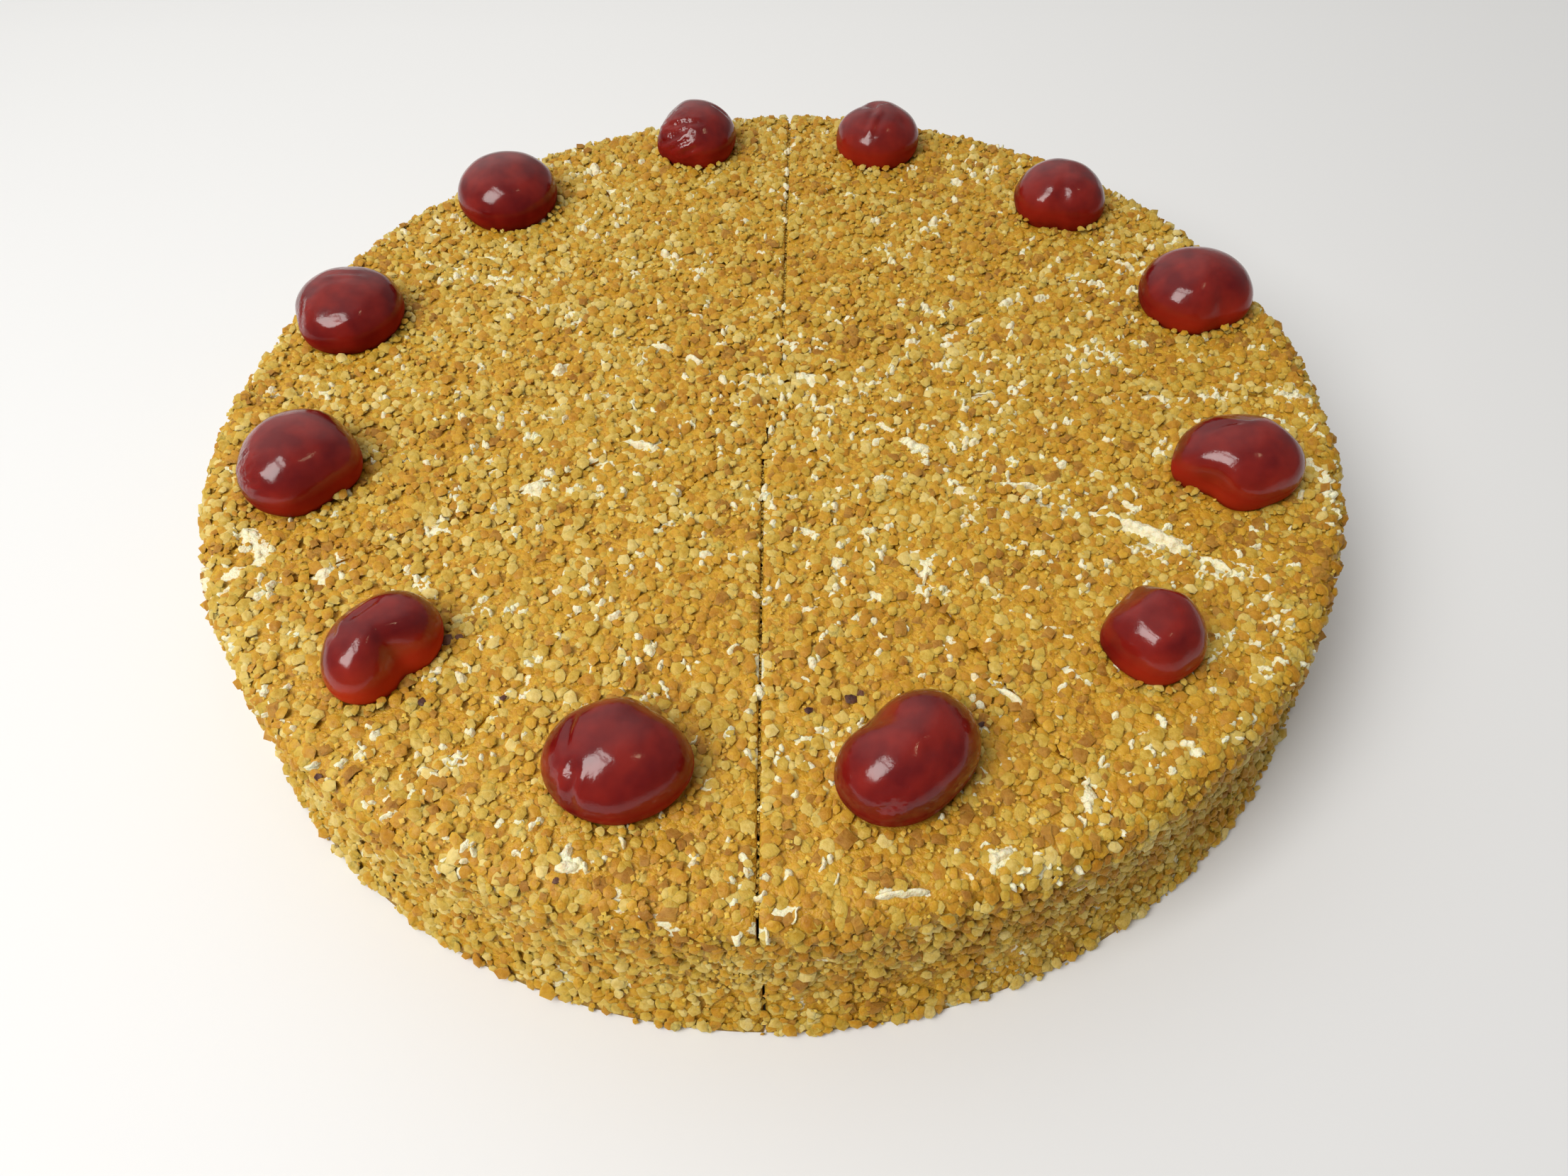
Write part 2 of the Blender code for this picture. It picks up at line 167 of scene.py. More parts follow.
def creamProfile(along):
    # distance from the axis, height and outward slope, at a length along the coat from the tip to the foot
    form = torteForm
    top = form["topHeight"] - form["krokantDepth"]
    rounding = form["rimRounding"]
    flatEnd = form["rimRadius"] - form["krokantDepth"] - rounding
    arc = rounding * math.pi / 2
    along = np.asarray(along, float)
    turn = np.clip((along - flatEnd) / rounding, 0.0, math.pi / 2)
    height = top - rounding * (1.0 - np.cos(turn)) - np.clip(along - flatEnd - arc, 0.0, top - rounding)
    distance = np.where(along < flatEnd, along, flatEnd + rounding * np.sin(turn))
    onWall = along > flatEnd + arc
    wall = wallRadius(np.maximum(height, 0.0)) - form["krokantDepth"]
    joint = wallRadius(np.array(top - rounding)) - form["krokantDepth"] - (flatEnd + rounding)
    distance = np.where(onWall, wall, distance + joint * np.sin(turn))
    return distance, np.maximum(height, 0.0), turn


def coatLength():
    form = torteForm
    top = form["topHeight"] - form["krokantDepth"]
    return (form["rimRadius"] - form["krokantDepth"] - form["rimRounding"]
            + form["rimRounding"] * math.pi / 2 + top - form["rimRounding"])


def sliceProfile(slices, along):
    # the cream's profile, with each slice's own rim and lift
    distance, height, turn = creamProfile(along)
    rise = eased(height / torteForm["topHeight"])
    distance = distance * (1.0 + perSlice("rimPush", slices) * rise / torteForm["rimRadius"])
    return distance, height + perSlice("topLift", slices) * rise, turn


def creamSurface(along, angle):
    # points of the bare cream and their outward directions
    slices = np.floor((np.asarray(angle) % math.tau) / sliceAngle).astype(int)
    distance, height, turn = sliceProfile(slices, along)
    points = np.stack([distance * np.cos(angle), distance * np.sin(angle), height], axis=1)
    outward = np.stack([np.sin(turn) * np.cos(angle), np.sin(turn) * np.sin(angle), np.cos(turn)], axis=1)
    return points, outward


def cutWander(cut, distance):
    form = torteForm
    atBend, atRim = form["cutWander"].get(cut % sliceCount, (0.0, 0.0))
    pastBend = np.maximum(0.0, distance - form["cutBend"]) / (form["rimRadius"] - form["cutBend"])
    return atBend * np.minimum(distance / form["cutBend"], 1.0) + (atRim - atBend) * pastBend


def alongCut(cut, out, aside):
    # x and y of a place this far out along a cut and this far to its counterclockwise side
    angle = cut * sliceAngle
    return out * math.cos(angle) - aside * math.sin(angle), out * math.sin(angle) + aside * math.cos(angle)


def cutWallPoint(cut, distance, side):
    cut %= sliceCount
    halfWidth = torteForm["openCuts"].get(cut, torteForm["closedCut"]) / 2
    return np.array(alongCut(cut, distance, cutWander(cut, distance) + side * halfWidth))


# Where the cream shows through: streaks that the knife and the palette left, in millimetres from the
# torte's middle: x, y, length, width, direction in degrees, how bare
bareStreaks = [
    (75, -40.5, 16, 3.0, -33, 1.0), (86, -48.5, 6, 2.0, -50, 0.9), (66, -36, 5, 2.4, -20, 0.9),
    (50, -28, 13, 1.8, -4, 0.9), (30, -16, 7, 3.0, -35, 0.9), (24, -10, 6, 1.8, -45, 0.8),
    (58, -33.5, 6, 2.0, -10, 0.8), (44, -34.5, 8, 1.4, -25, 0.7), (40, -29, 4, 1.6, 30, 0.8),
    (-26, 15.5, 6, 1.8, -15, 1.0), (-18, 11.5, 5, 1.6, -30, 0.9), (-36, 22, 8, 1.2, -40, 0.7),
    (-48.5, 8, 3.4, 2.6, 60, 1.0), (-48, -28.5, 6, 3.4, 20, 1.0), (-27, -16.5, 9, 2.0, -12, 0.9),
    (-66, -40.5, 7, 1.2, 8, 0.8), (-85, -51.5, 5, 3.0, 10, 1.0), (-103, -41, 6, 3.0, -20, 1.0),
    (-99.5, -46, 6, 2.6, -70, 1.0), (-103, -51.5, 4, 3.0, 60, 0.9), (-98, -53, 3, 2.0, 0, 0.8),
    (-51, 91, 5, 3.2, -60, 1.0), (-45, 80, 6, 1.4, -50, 0.8), (-28, 52, 3.4, 2.4, -50, 0.9),
    (-26, 46.5, 5, 1.6, 50, 0.8), (-19, 28, 5, 1.6, -50, 0.7), (-61, 36, 8, 1.4, -30, 0.7),
    (-78, 47.5, 8, 1.2, -40, 0.7), (3.4, 106, 14, 1.6, 88, 0.9), (3.4, 76, 16, 1.0, 88, 0.6),
    (8, 5, 6, 3.4, -10, 1.0), (4.5, 16.5, 3, 2.2, 40, 0.9), (-3.6, 10.5, 5, 1.2, 80, 0.8),
    (15, 3.5, 2.6, 2.6, 0, 0.9), (23, 2.6, 4, 1.6, 0, 0.9), (15.5, -3.5, 3, 1.8, 0, 0.8),
    (31.5, 17, 3.6, 2.6, 30, 1.0), (41, 20, 4, 1.6, 60, 0.9), (42, 31, 4, 1.8, -60, 0.9),
    (55, 31.5, 4, 3.0, 50, 1.0), (63, 33, 4, 2.8, 20, 0.9), (48, 26, 8, 1.2, 30, 0.7),
    (50, 36, 2.6, 1.6, 0, 0.8), (40, 65, 4, 2.2, 70, 0.9), (43.5, 70, 4, 1.2, 80, 0.7),
    (47, 83.5, 4.4, 2.6, -20, 0.9), (36, 91, 4, 1.6, -60, 0.8), (84, 46.5, 9, 1.8, -25, 0.9),
    (96, 54, 7, 1.4, -45, 0.7), (47, -0.8, 7, 1.6, 0, 0.9), (62, -1.6, 5, 1.6, 0, 0.8),
    (74, -0.8, 4, 1.2, 70, 0.8), (83, -1.4, 14, 1.2, 0, 0.8), (99, -1.0, 16, 1.2, 2, 0.8),
    (113, -1, 3.4, 2.6, 0, 0.9), (113, -26, 12, 2.0, -82, 0.9), (-108, 0, 18, 1.2, 0, 0.7),
    (-38, 0, 5, 1.2, 0, 0.8), (-52, -0.5, 3, 1.4, 0, 0.7), (8.5, -40, 7, 1.6, -35, 0.8),
    (14, -48, 5, 1.4, -70, 0.8), (9, -59, 5, 1.2, 0, 0.8), (21, -56, 4, 1.6, -20, 0.8),
    (34, -66, 4, 1.6, -60, 0.8), (56, -74, 7, 1.6, -45, 0.9), (44, -78, 6, 2.0, -40, 0.9),
    (39, -107.5, 5, 2.4, 25, 1.0), (34, -110, 4, 2.0, 30, 0.9), (23, -113.6, 10, 1.2, 8, 0.9),
    (6, -116.4, 9, 1.2, 12, 0.9), (1.6, -113, 9, 0.9, 88, 0.6), (-29.5, -110, 5, 2.6, 5, 1.0),
    (-21, -115, 4, 1.8, -70, 0.9), (-14, -117.5, 6, 1.4, -30, 0.7), (55, -65, 6, 1.2, -30, 0.7),
    (83, -68, 6, 1.2, 60, 0.7), (-60, -100, 6, 1.6, -60, 0.8), (-48, -98, 4, 1.4, -30, 0.7),
]

streakMaking = {
    "ragged": 0.45,
    "raggedSize": 1.9 * mm,
    "squareness": 3,
    "core": 0.75,
    "fade": 0.6,
    "lowest": 30.0 * mm,
    "lowFade": 4.0 * mm,
}

# Where white shows in small gaps between the grains: middle direction, half width, and how much, by sector
gappySectors = [(-40, 44, 0.10), (-130, 30, 0.08), (-92, 20, 0.05), (10, 20, 0.06), (-165, 16, 0.07),
                (35, 20, 0.03)]
gapMaking = {
    "middle": 0.5,
    "size": 6.0 * mm,
    "sway": 0.2,
    "fineSize": 2.6 * mm,
    "fineSway": 0.3,
    "sectorCore": 0.6,
    "sectorFade": 0.4,
    "border": 0.13,
    "borderWidth": 2.8 * mm,
    "start": 0.70,
    "soft": 0.28,
}


def streakBareness(points):
    making = streakMaking
    bare = np.zeros(len(points))
    ragged = 1.0 + making["ragged"] * softNoise(points, making["raggedSize"], seeds["raggedStreak"])
    for x, y, length, width, direction, strength in bareStreaks:
        turn = math.radians(direction)
        dx = points[:, 0] - x * mm
        dy = points[:, 1] - y * mm
        lengthwise = (dx * math.cos(turn) + dy * math.sin(turn)) / (length * mm / 2)
        crosswise = (dy * math.cos(turn) - dx * math.sin(turn)) / (width * mm / 2)
        away = np.sqrt(np.abs(lengthwise) ** making["squareness"] + crosswise ** 2) * ragged
        bare = np.maximum(bare, strength * (1.0 - eased((away - making["core"]) / making["fade"])))
    return bare * eased((points[:, 2] - making["lowest"]) / making["lowFade"])


def looseness(points):
    # how loosely the grains lie: more so by sector, and along the borders of the slices
    making = gapMaking
    field = making["middle"] + making["sway"] * softNoise(points, making["size"], seeds["gaps"])
    field = field + making["fineSway"] * softNoise(points, making["fineSize"], seeds["fineGaps"])
    azimuth = np.degrees(np.arctan2(points[:, 1], points[:, 0]))
    for middle, halfWidth, amount in gappySectors:
        away = degreesAway(azimuth, middle) - halfWidth * making["sectorCore"]
        field = field + amount * (1.0 - eased(away / (halfWidth * making["sectorFade"])))
    half = sliceDegrees / 2
    distance = np.hypot(points[:, 0], points[:, 1])
    fromBorder = np.abs((azimuth + half) % sliceDegrees - half) * math.pi / 180.0 * distance
    return field + making["border"] * np.exp(-(fromBorder / making["borderWidth"]) ** 2)


def gapBareness(points):
    # where the grains lie so loosely that cream shows between them
    return eased((looseness(points) - gapMaking["start"]) / gapMaking["soft"])


def bareness(points):
    # 0 where krokant hides the cream, 1 where the cream lies open
    return np.maximum(gapBareness(points), streakBareness(points))


# Materials. What owns a node is a material or the world

blackToWhite = ((0.0, 0.0, 0.0), (1.0, 1.0, 1.0))


def newMaterial(name, **values):
    material = bpy.data.materials.new(name)
    material.use_nodes = True
    shader = material.node_tree.nodes["Principled BSDF"]
    for socket, value in values.items():
        shader.inputs[socket.replace("_", " ")].default_value = value
    return material


def addNode(owner, kind, inputs=None, **settings):
    node = owner.node_tree.nodes.new(kind)
    for name, value in settings.items():
        setattr(node, name, value)
    for socket, value in (inputs or {}).items():
        if isinstance(value, bpy.types.NodeSocket):
            owner.node_tree.links.new(value, node.inputs[socket])
        else:
            node.inputs[socket].default_value = value
    return node


def toShader(material, socket, output):
    material.node_tree.links.new(output, material.node_tree.nodes["Principled BSDF"].inputs[socket])


def colourRamp(owner, factor, places, colours):
    ramp = addNode(owner, "ShaderNodeValToRGB", {"Fac": factor})
    elements = ramp.color_ramp.elements
    while len(elements) < len(places):
        elements.new(0.5)
    for element, place, colour in zip(elements, places, colours):
        element.position = place
        element.color = (*colour, 1.0)
    return ramp.outputs["Color"]


def greys(*values):
    return [(value,) * 3 for value in values]


def noiseTexture(material, scale, detail=3.0):
    place = addNode(material, "ShaderNodeTexCoord").outputs["Object"]
    inputs = {"Vector": place, "Scale": scale, "Detail": detail, "Roughness": 0.55}
    return addNode(material, "ShaderNodeTexNoise", inputs).outputs["Fac"]


def mathNode(material, operation, *values):
    return addNode(material, "ShaderNodeMath", dict(enumerate(values)), operation=operation).outputs[0]


def bump(material, height, strength, distance):
    inputs = {"Height": height, "Strength": strength, "Distance": distance}
    toShader(material, "Normal", addNode(material, "ShaderNodeBump", inputs).outputs["Normal"])


def mixColours(material, factor, first, second):
    # the second may be a plain colour
    if not isinstance(second, bpy.types.NodeSocket):
        second = (*second, 1.0)
    return addNode(material, "ShaderNodeMix", {0: factor, 6: first, 7: second}, data_type="RGBA").outputs[2]


def attribute(material, name):
    return addNode(material, "ShaderNodeAttribute", attribute_name=name).outputs["Fac"]


# The cream coat of each slice

creamLook = {
    "open": (0.90, 0.83, 0.58),
    "openDeep": (0.80, 0.66, 0.33),
    "openScale": 900.0,
    "openStops": (0.25, 0.55),
    "sugared": (0.64, 0.35, 0.021),
    "sugaredDeep": (0.50, 0.238, 0.009),
    "gritScale": 1250.0,
    "gritStops": (0.36, 0.60),
    "patchScale": 700.0,
    "patchSwing": 2.0,
    "patchShift": -1.0,
    "bareStops": (0.42, 0.56),
    "bump": (0.8, 0.0006),
}
spongeLook = {
    "pale": (0.62, 0.40, 0.16),
    "dark": (0.45, 0.25, 0.08),
    "scale": 500.0,
    "stops": (0.3, 0.65),
    "bumpScale": 700.0,
    "bump": (0.6, 0.0006),
}


def creamMaterial():
    # white whipped cream, stained gold where fine krokant fills it
    look = creamLook
    material = newMaterial("whippedCream", Roughness=0.55, Subsurface_Weight=0.2, Subsurface_Scale=0.002)
    mottle = noiseTexture(material, look["openScale"])
    white = colourRamp(material, mottle, look["openStops"], (look["openDeep"], look["open"]))
    grit = noiseTexture(material, look["gritScale"], 2.0)
    gold = colourRamp(material, grit, look["gritStops"], (look["sugaredDeep"], look["sugared"]))
    patch = noiseTexture(material, look["patchScale"], 2.0)
    patch = mathNode(material, "MULTIPLY_ADD", patch, look["patchSwing"], look["patchShift"])
    bare = mathNode(material, "ADD", attribute(material, "bare"), patch)
    share = colourRamp(material, bare, look["bareStops"], blackToWhite)
    toShader(material, "Base Color", mixColours(material, share, gold, white))
    bump(material, grit, *look["bump"])
    return material


def spongeMaterial():
    # the plain sponge base that the torte stands on
    look = spongeLook
    material = newMaterial("spongeBase", Roughness=0.8)
    crumb = noiseTexture(material, look["scale"], 5.0)
    toShader(material, "Base Color", colourRamp(material, crumb, look["stops"], (look["dark"], look["pale"])))
    bump(material, noiseTexture(material, look["bumpScale"], 5.0), *look["bump"])
    return material


coatMaking = {
    "step": 1.55 * mm,
    "relief": 0.35 * mm,
    "reliefSize": 6.0 * mm,
    "fineRelief": 0.18 * mm,
    "fineReliefSize": 1.7 * mm,
    "bareRise": 0.55 * mm,
    "cutEdgeDrop": 0.35 * mm,
}


def coatRow(k, along):
    # one row of a slice's coat, from its first cut to its second
    distance, height, turn = (float(v[0]) for v in sliceProfile(k, np.array([along])))
    count = max(1, round(distance * sliceAngle / coatMaking["step"]))
    share = np.linspace(0.0, 1.0, count + 1)
    first = cutWallPoint(k, distance, 1)
    last = cutWallPoint(k + 1, distance, -1)
    firstAngle = math.atan2(first[1], first[0])
    sweep = (math.atan2(last[1], last[0]) - firstAngle) % math.tau
    radius = np.hypot(*first) * (1.0 - share) + np.hypot(*last) * share
    angle = firstAngle + sweep * share
    points = np.stack([radius * np.cos(angle), radius * np.sin(angle), np.full(count + 1, height)], axis=1)
    outward = np.stack([math.sin(turn) * np.cos(angle), math.sin(turn) * np.sin(angle),
                        np.full(count + 1, math.cos(turn))], axis=1)
    points[0, :2] = first
    points[-1, :2] = last
    return points, outward


def bridgeRows(inner, outer):
    faces = []
    i = 0
    j = 0
    while i < len(inner) - 1 or j < len(outer) - 1:
        innerShare = (i + 1) / (len(inner) - 1) if i < len(inner) - 1 else 2.0
        outerShare = (j + 1) / (len(outer) - 1) if j < len(outer) - 1 else 2.0
        if outerShare <= innerShare:
            faces.append((inner[i], outer[j], outer[j + 1]))
            j += 1
        else:
            faces.append((inner[i], outer[j], inner[i + 1]))
            i += 1
    return faces


def buildCoat(k, cream, sponge):
    form = torteForm
    making = coatMaking
    rowsAlong = np.linspace(form["tipDistance"], coatLength(), round(coatLength() / making["step"]))
    bendRow = int(np.argmin(np.abs(rowsAlong - form["cutBend"])))
    rowsAlong[bendRow] = form["cutBend"]
    rows = []
    points = []
    outward = []
    for along in rowsAlong:
        rowPoints, rowOutward = coatRow(k, along)
        start = sum(len(p) for p in points)
        rows.append(list(range(start, start + len(rowPoints))))
        points.append(rowPoints)
        outward.append(rowOutward)
    points = np.concatenate(points)
    outward = np.concatenate(outward)
    bare = bareness(points)
    lift = making["bareRise"] * bare ** 2
    lift += making["relief"] * softNoise(points, making["reliefSize"], seeds["coat"])
    lift += making["fineRelief"] * softNoise(points, making["fineReliefSize"], seeds["fineCoat"])
    for row in rows:  # the knife has pressed the edges down and left the cut walls flat
        lift[row[0]] -= making["cutEdgeDrop"]
        lift[row[-1]] -= making["cutEdgeDrop"]
    lift[rows[-1]] = 0.0
    flat = points + outward * lift[:, None]
    for row in rows:  # the ends of each row slide along the cut, not across it
        for vertex, cut, side in ((row[0], k, 1), (row[-1], k + 1, -1)):
            slid = float(lift[vertex] * np.hypot(*outward[vertex, :2]))
            flat[vertex, :2] = cutWallPoint(cut, float(np.hypot(*points[vertex, :2])) + slid, side)
    flat[rows[-1], 2] = 0.0
    base = []
    for cut, side in ((k, 1), (k + 1, -1)):
        for distance in (form["tipDistance"], form["cutBend"]):
            base.append([*cutWallPoint(cut, distance, side), 0.0])
    n = len(flat)
    flat = np.concatenate([flat, np.array(base)])
    bare = np.concatenate([bare, np.zeros(len(base))])
    faces = []
    for inner, outer in zip(rows, rows[1:]):
        faces += bridgeRows(inner, outer)
    skinFaces = len(faces)
    first = [row[0] for row in rows]
    last = [row[-1] for row in rows]
    faces.append([n + 1, *reversed(first[bendRow:])])  # the cut walls, bent once each
    faces.append([n, n + 1, *reversed(first[:bendRow + 1])])
    faces.append([n + 3, *last[bendRow:]])
    faces.append([n + 3, n + 2, *last[:bendRow + 1]])
    faces.append([n, rows[0][0], rows[0][-1], n + 2])  # the blunt tip
    wallFaces = len(faces)
    faces.append([n + 1, n, n + 2, n + 3, *reversed(rows[-1])])  # the underside
    coat = meshObject(f"creamCoat_{k + 1:02d}", flat, faces, cream)
    coat.data.materials.append(sponge)
    for number, face in enumerate(coat.data.polygons):
        face.use_smooth = number < skinFaces
        face.material_index = 1 if number >= wallFaces else 0
    storeNumbers(coat, "bare", bare)
    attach(coat, "root")
    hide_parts(f"slice_{k + 1:02d}")


cream = creamMaterial()
sponge = spongeMaterial()
for k in range(sliceCount):
    buildCoat(k, cream, sponge)
print("cream coats built")


# The streaks where cream stands proud between the grains
# x, y, length, width, direction, height above the coat, all in millimetres and degrees

proudStreaks = [
    (75, -40.7, 16.5, 3.4, -33, 1.9), (68, -35.6, 5, 2.6, -60, 1.6), (87, -49, 5, 1.8, -55, 1.4),
    (31, -16.6, 6, 2.8, -25, 1.6), (50, -28, 10, 1.3, -4, 1.4), (-26, 15.5, 5.5, 1.5, -15, 1.6),
    (-18, 11.3, 5, 1.4, -30, 1.5), (-48.4, 8, 2.6, 2.4, 60, 1.8), (-48, -28.6, 5, 3.2, 20, 1.7),
    (-27, -16.6, 7, 1.6, -12, 1.4), (-103, -41, 5, 2.6, -20, 1.6), (-99.5, -46, 5, 2.4, -70, 1.6),
    (-85, -51.5, 4.4, 2.6, 10, 1.5), (-51, 91, 4.4, 2.8, -60, 1.7), (8, 5, 5, 2.8, -10, 1.6),
    (55, 31.5, 3.6, 2.6, 50, 1.6), (63, 33, 3.6, 2.4, 20, 1.5), (84, 46.5, 8, 1.4, -25, 1.5),
    (39, -107.5, 4.6, 2.4, 25, 1.7), (40, 65, 3.6, 2.0, 70, 1.6), (47, 83.5, 4, 2.2, -20, 1.5),
    (-28, 52, 3, 2.0, -50, 1.6), (31.5, 17, 3.2, 2.2, 30, 1.5), (23, -113.6, 9, 1.1, 8, 1.2),
    (-29.5, -110, 4.4, 2.2, 5, 1.5), (56, -74, 6, 1.2, -45, 1.3), (44, -78, 5, 1.4, -40, 1.3),
]


proudMaking = {  # steps, widths and heights in millimetres
    "across": 7,
    "step": 0.35,
    "fewestSteps": 8,
    "wander": 50.0,
    "spacing": 0.1,  # keeps one streak's noise apart from the next one's
    "widthSway": 0.35,
    "widthSize": 1.3 * mm,
    "leastHalfWidth": 0.05,
    "bend": 0.35,
    "bendSize": 3.0 * mm,
    "endCrest": 0.55,
    "middleCrest": 0.45,
    "crestSway": 0.3,
    "crestSize": 1.0 * mm,
    "roundness": 2.4,
    "root": 0.2,
}


def stripFaces(start, rows, columns):
    # the squares of a strip whose points lie row by row
    faces = []
    for i in range(rows - 1):
        for j in range(columns - 1):
            a = start + i * columns + j
            faces.append((a, a + 1, a + columns + 1, a + columns))
    return faces


def buildStreaks(material):
    making = proudMaking
    across = making["across"]
    points = []
    faces = []
    for number, (x, y, length, width, direction, rise) in enumerate(proudStreaks):
        steps = max(making["fewestSteps"], round(length / making["step"]))
        turn = math.radians(direction)
        lengthwise = np.array([math.cos(turn), math.sin(turn)])
        crosswise = np.array([-lengthwise[1], lengthwise[0]])
        wander = draw.uniform(0.0, making["wander"])
        faces += stripFaces(len(points), steps + 1, across)
        for i in range(steps + 1):
            share = i / steps
            swell = math.sqrt(max(0.0, 1.0 - (2.0 * share - 1.0) ** 4))
            sample = np.array([[share * length * mm + wander, number * making["spacing"], 0.0]])
            wider, aside, higher = (float(softNoise(sample, making[size], seeds[seed])[0]) for size, seed in (
                ("widthSize", "streakWidth"), ("bendSize", "streakBend"), ("crestSize", "streakCrest")))
            halfWidth = width / 2 * swell * (1.0 + making["widthSway"] * wider) + making["leastHalfWidth"]
            crest = rise * (making["endCrest"] + making["middleCrest"] * swell)
            crest = crest * (1.0 + making["crestSway"] * higher)
            for j in range(across):
                side = 2.0 * j / (across - 1) - 1.0
                place = (np.array([x, y]) + lengthwise * (share - 0.5) * length
                         + crosswise * (side * halfWidth + making["bend"] * aside))
                height = crest * (1.0 - abs(side) ** making["roundness"]) * swell - making["root"]
                points.append((place[0] * mm, place[1] * mm,
                               torteForm["topHeight"] - torteForm["krokantDepth"] + height * mm))
    streaks = meshObject("creamStreaks", points, faces, material)
    storeNumbers(streaks, "bare", np.ones(len(points)))
    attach(streaks, "root")


buildStreaks(cream)
print("cream streaks built")


# The thin curls of cream that the palette squeezed up between the grains

creamCurls = {
    "tries": 4500,
    "start": 0.51,
    "soft": 0.26,
    "steps": (3, 9),
    "stepLength": 0.42 * mm,
    "bend": 0.55,
    "halfWidth": (0.25 * mm, 0.80 * mm),
    "endWidth": 0.3,
    "rise": (0.95 * mm, 1.75 * mm),
    "uneven": (0.7, 1.15),
    "across": 4,
    "roundness": 2.2,
    "root": 0.1 * mm,
    "reach": 121.0 * mm,
    "closest": 4.0 * mm,
}


def buildCurls(material):
    curls = creamCurls
    across = curls["across"]
    points = []
    faces = []
    starts = curls["reach"] * np.sqrt(draw.uniform(0.0, 1.0, curls["tries"]))
    angles = draw.uniform(0.0, math.tau, curls["tries"])
    places = creamSurface(starts, angles)[0]
    likely = eased((looseness(places) - curls["start"]) / curls["soft"])
    wanted = draw.uniform(0.0, 1.0, len(places)) < likely
    for along, angle in zip(starts[wanted], angles[wanted]):
        steps = int(draw.integers(*curls["steps"]))
        halfWidth = draw.uniform(*curls["halfWidth"])
        rise = draw.uniform(*curls["rise"])
        turns = draw.uniform(0.0, math.tau) + np.cumsum(draw.normal(0.0, curls["bend"], steps + 1))
        out = along + np.cumsum(np.cos(turns)) * curls["stepLength"]
        bearing = angle + np.cumsum(np.sin(turns)) * curls["stepLength"] / max(along, curls["closest"])
        spine, outward = creamSurface(np.maximum(out, mm), bearing)
        sideways = unit(np.cross(outward, np.gradient(spine, axis=0)))
        swell = np.sqrt(1.0 - (2.0 * np.arange(steps + 1) / steps - 1.0) ** 4)
        swell = swell * draw.uniform(*curls["uneven"], steps + 1)
        faces += stripFaces(len(points), across, steps + 1)
        for j in range(across):
            side = 2.0 * j / (across - 1) - 1.0
            height = rise * swell * (1.0 - abs(side) ** curls["roundness"]) - curls["root"]
            wide = (side * halfWidth * (curls["endWidth"] + swell))[:, None]
            points += (spine + sideways * wide + outward * height[:, None]).tolist()
    curled = meshObject("creamCurls", points, faces, material)
    storeNumbers(curled, "bare", np.ones(len(points)))
    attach(curled, "root")
    print("creamCurls", int(wanted.sum()), "curls,", len(faces) * 2, "triangles")


buildCurls(cream)


# The glace cherries. Their places, sizes and outlines are those of the solids

cherryForm = {
    "around": 72,
    "rings": 30,
    "undersideRings": 8,
    "topRing": 86.0,
    "widest": 0.32,
    "undercut": 0.6,
    "wobble": 0.18 * mm,
    "wobbleSize": 4.5 * mm,
    "flatness": 0.85,
    "flatEdge": 0.9 * mm,
    "footHeight": 0.2 * mm,
    "footFade": 1.5 * mm,
    "creaseLip": 0.45,
    "lipAway": 2.0,
    "lipWidth": 0.8,
    "creaseEnd": 0.35,
    "creaseMiddle": 0.65,
    "creaseFade": 1.5,
    "wrinkleStart": 0.4,
    "crustHeight": 9.0 * mm,
    "edgeRise": -8.0,  # the krokant meets the skin here
}
# how far a painted glow of light shining through the jelly spreads: most on a cherry's lit side and toward
# its foot
paintedGlowLook = {
    "middle": 0.5,
    "spread": 0.62,
    "height": 11.0 * mm,
    "shadedHeight": 0.6,
    "litHeight": 0.7,
    "shaded": 0.10,
    "lit": 0.90,
}
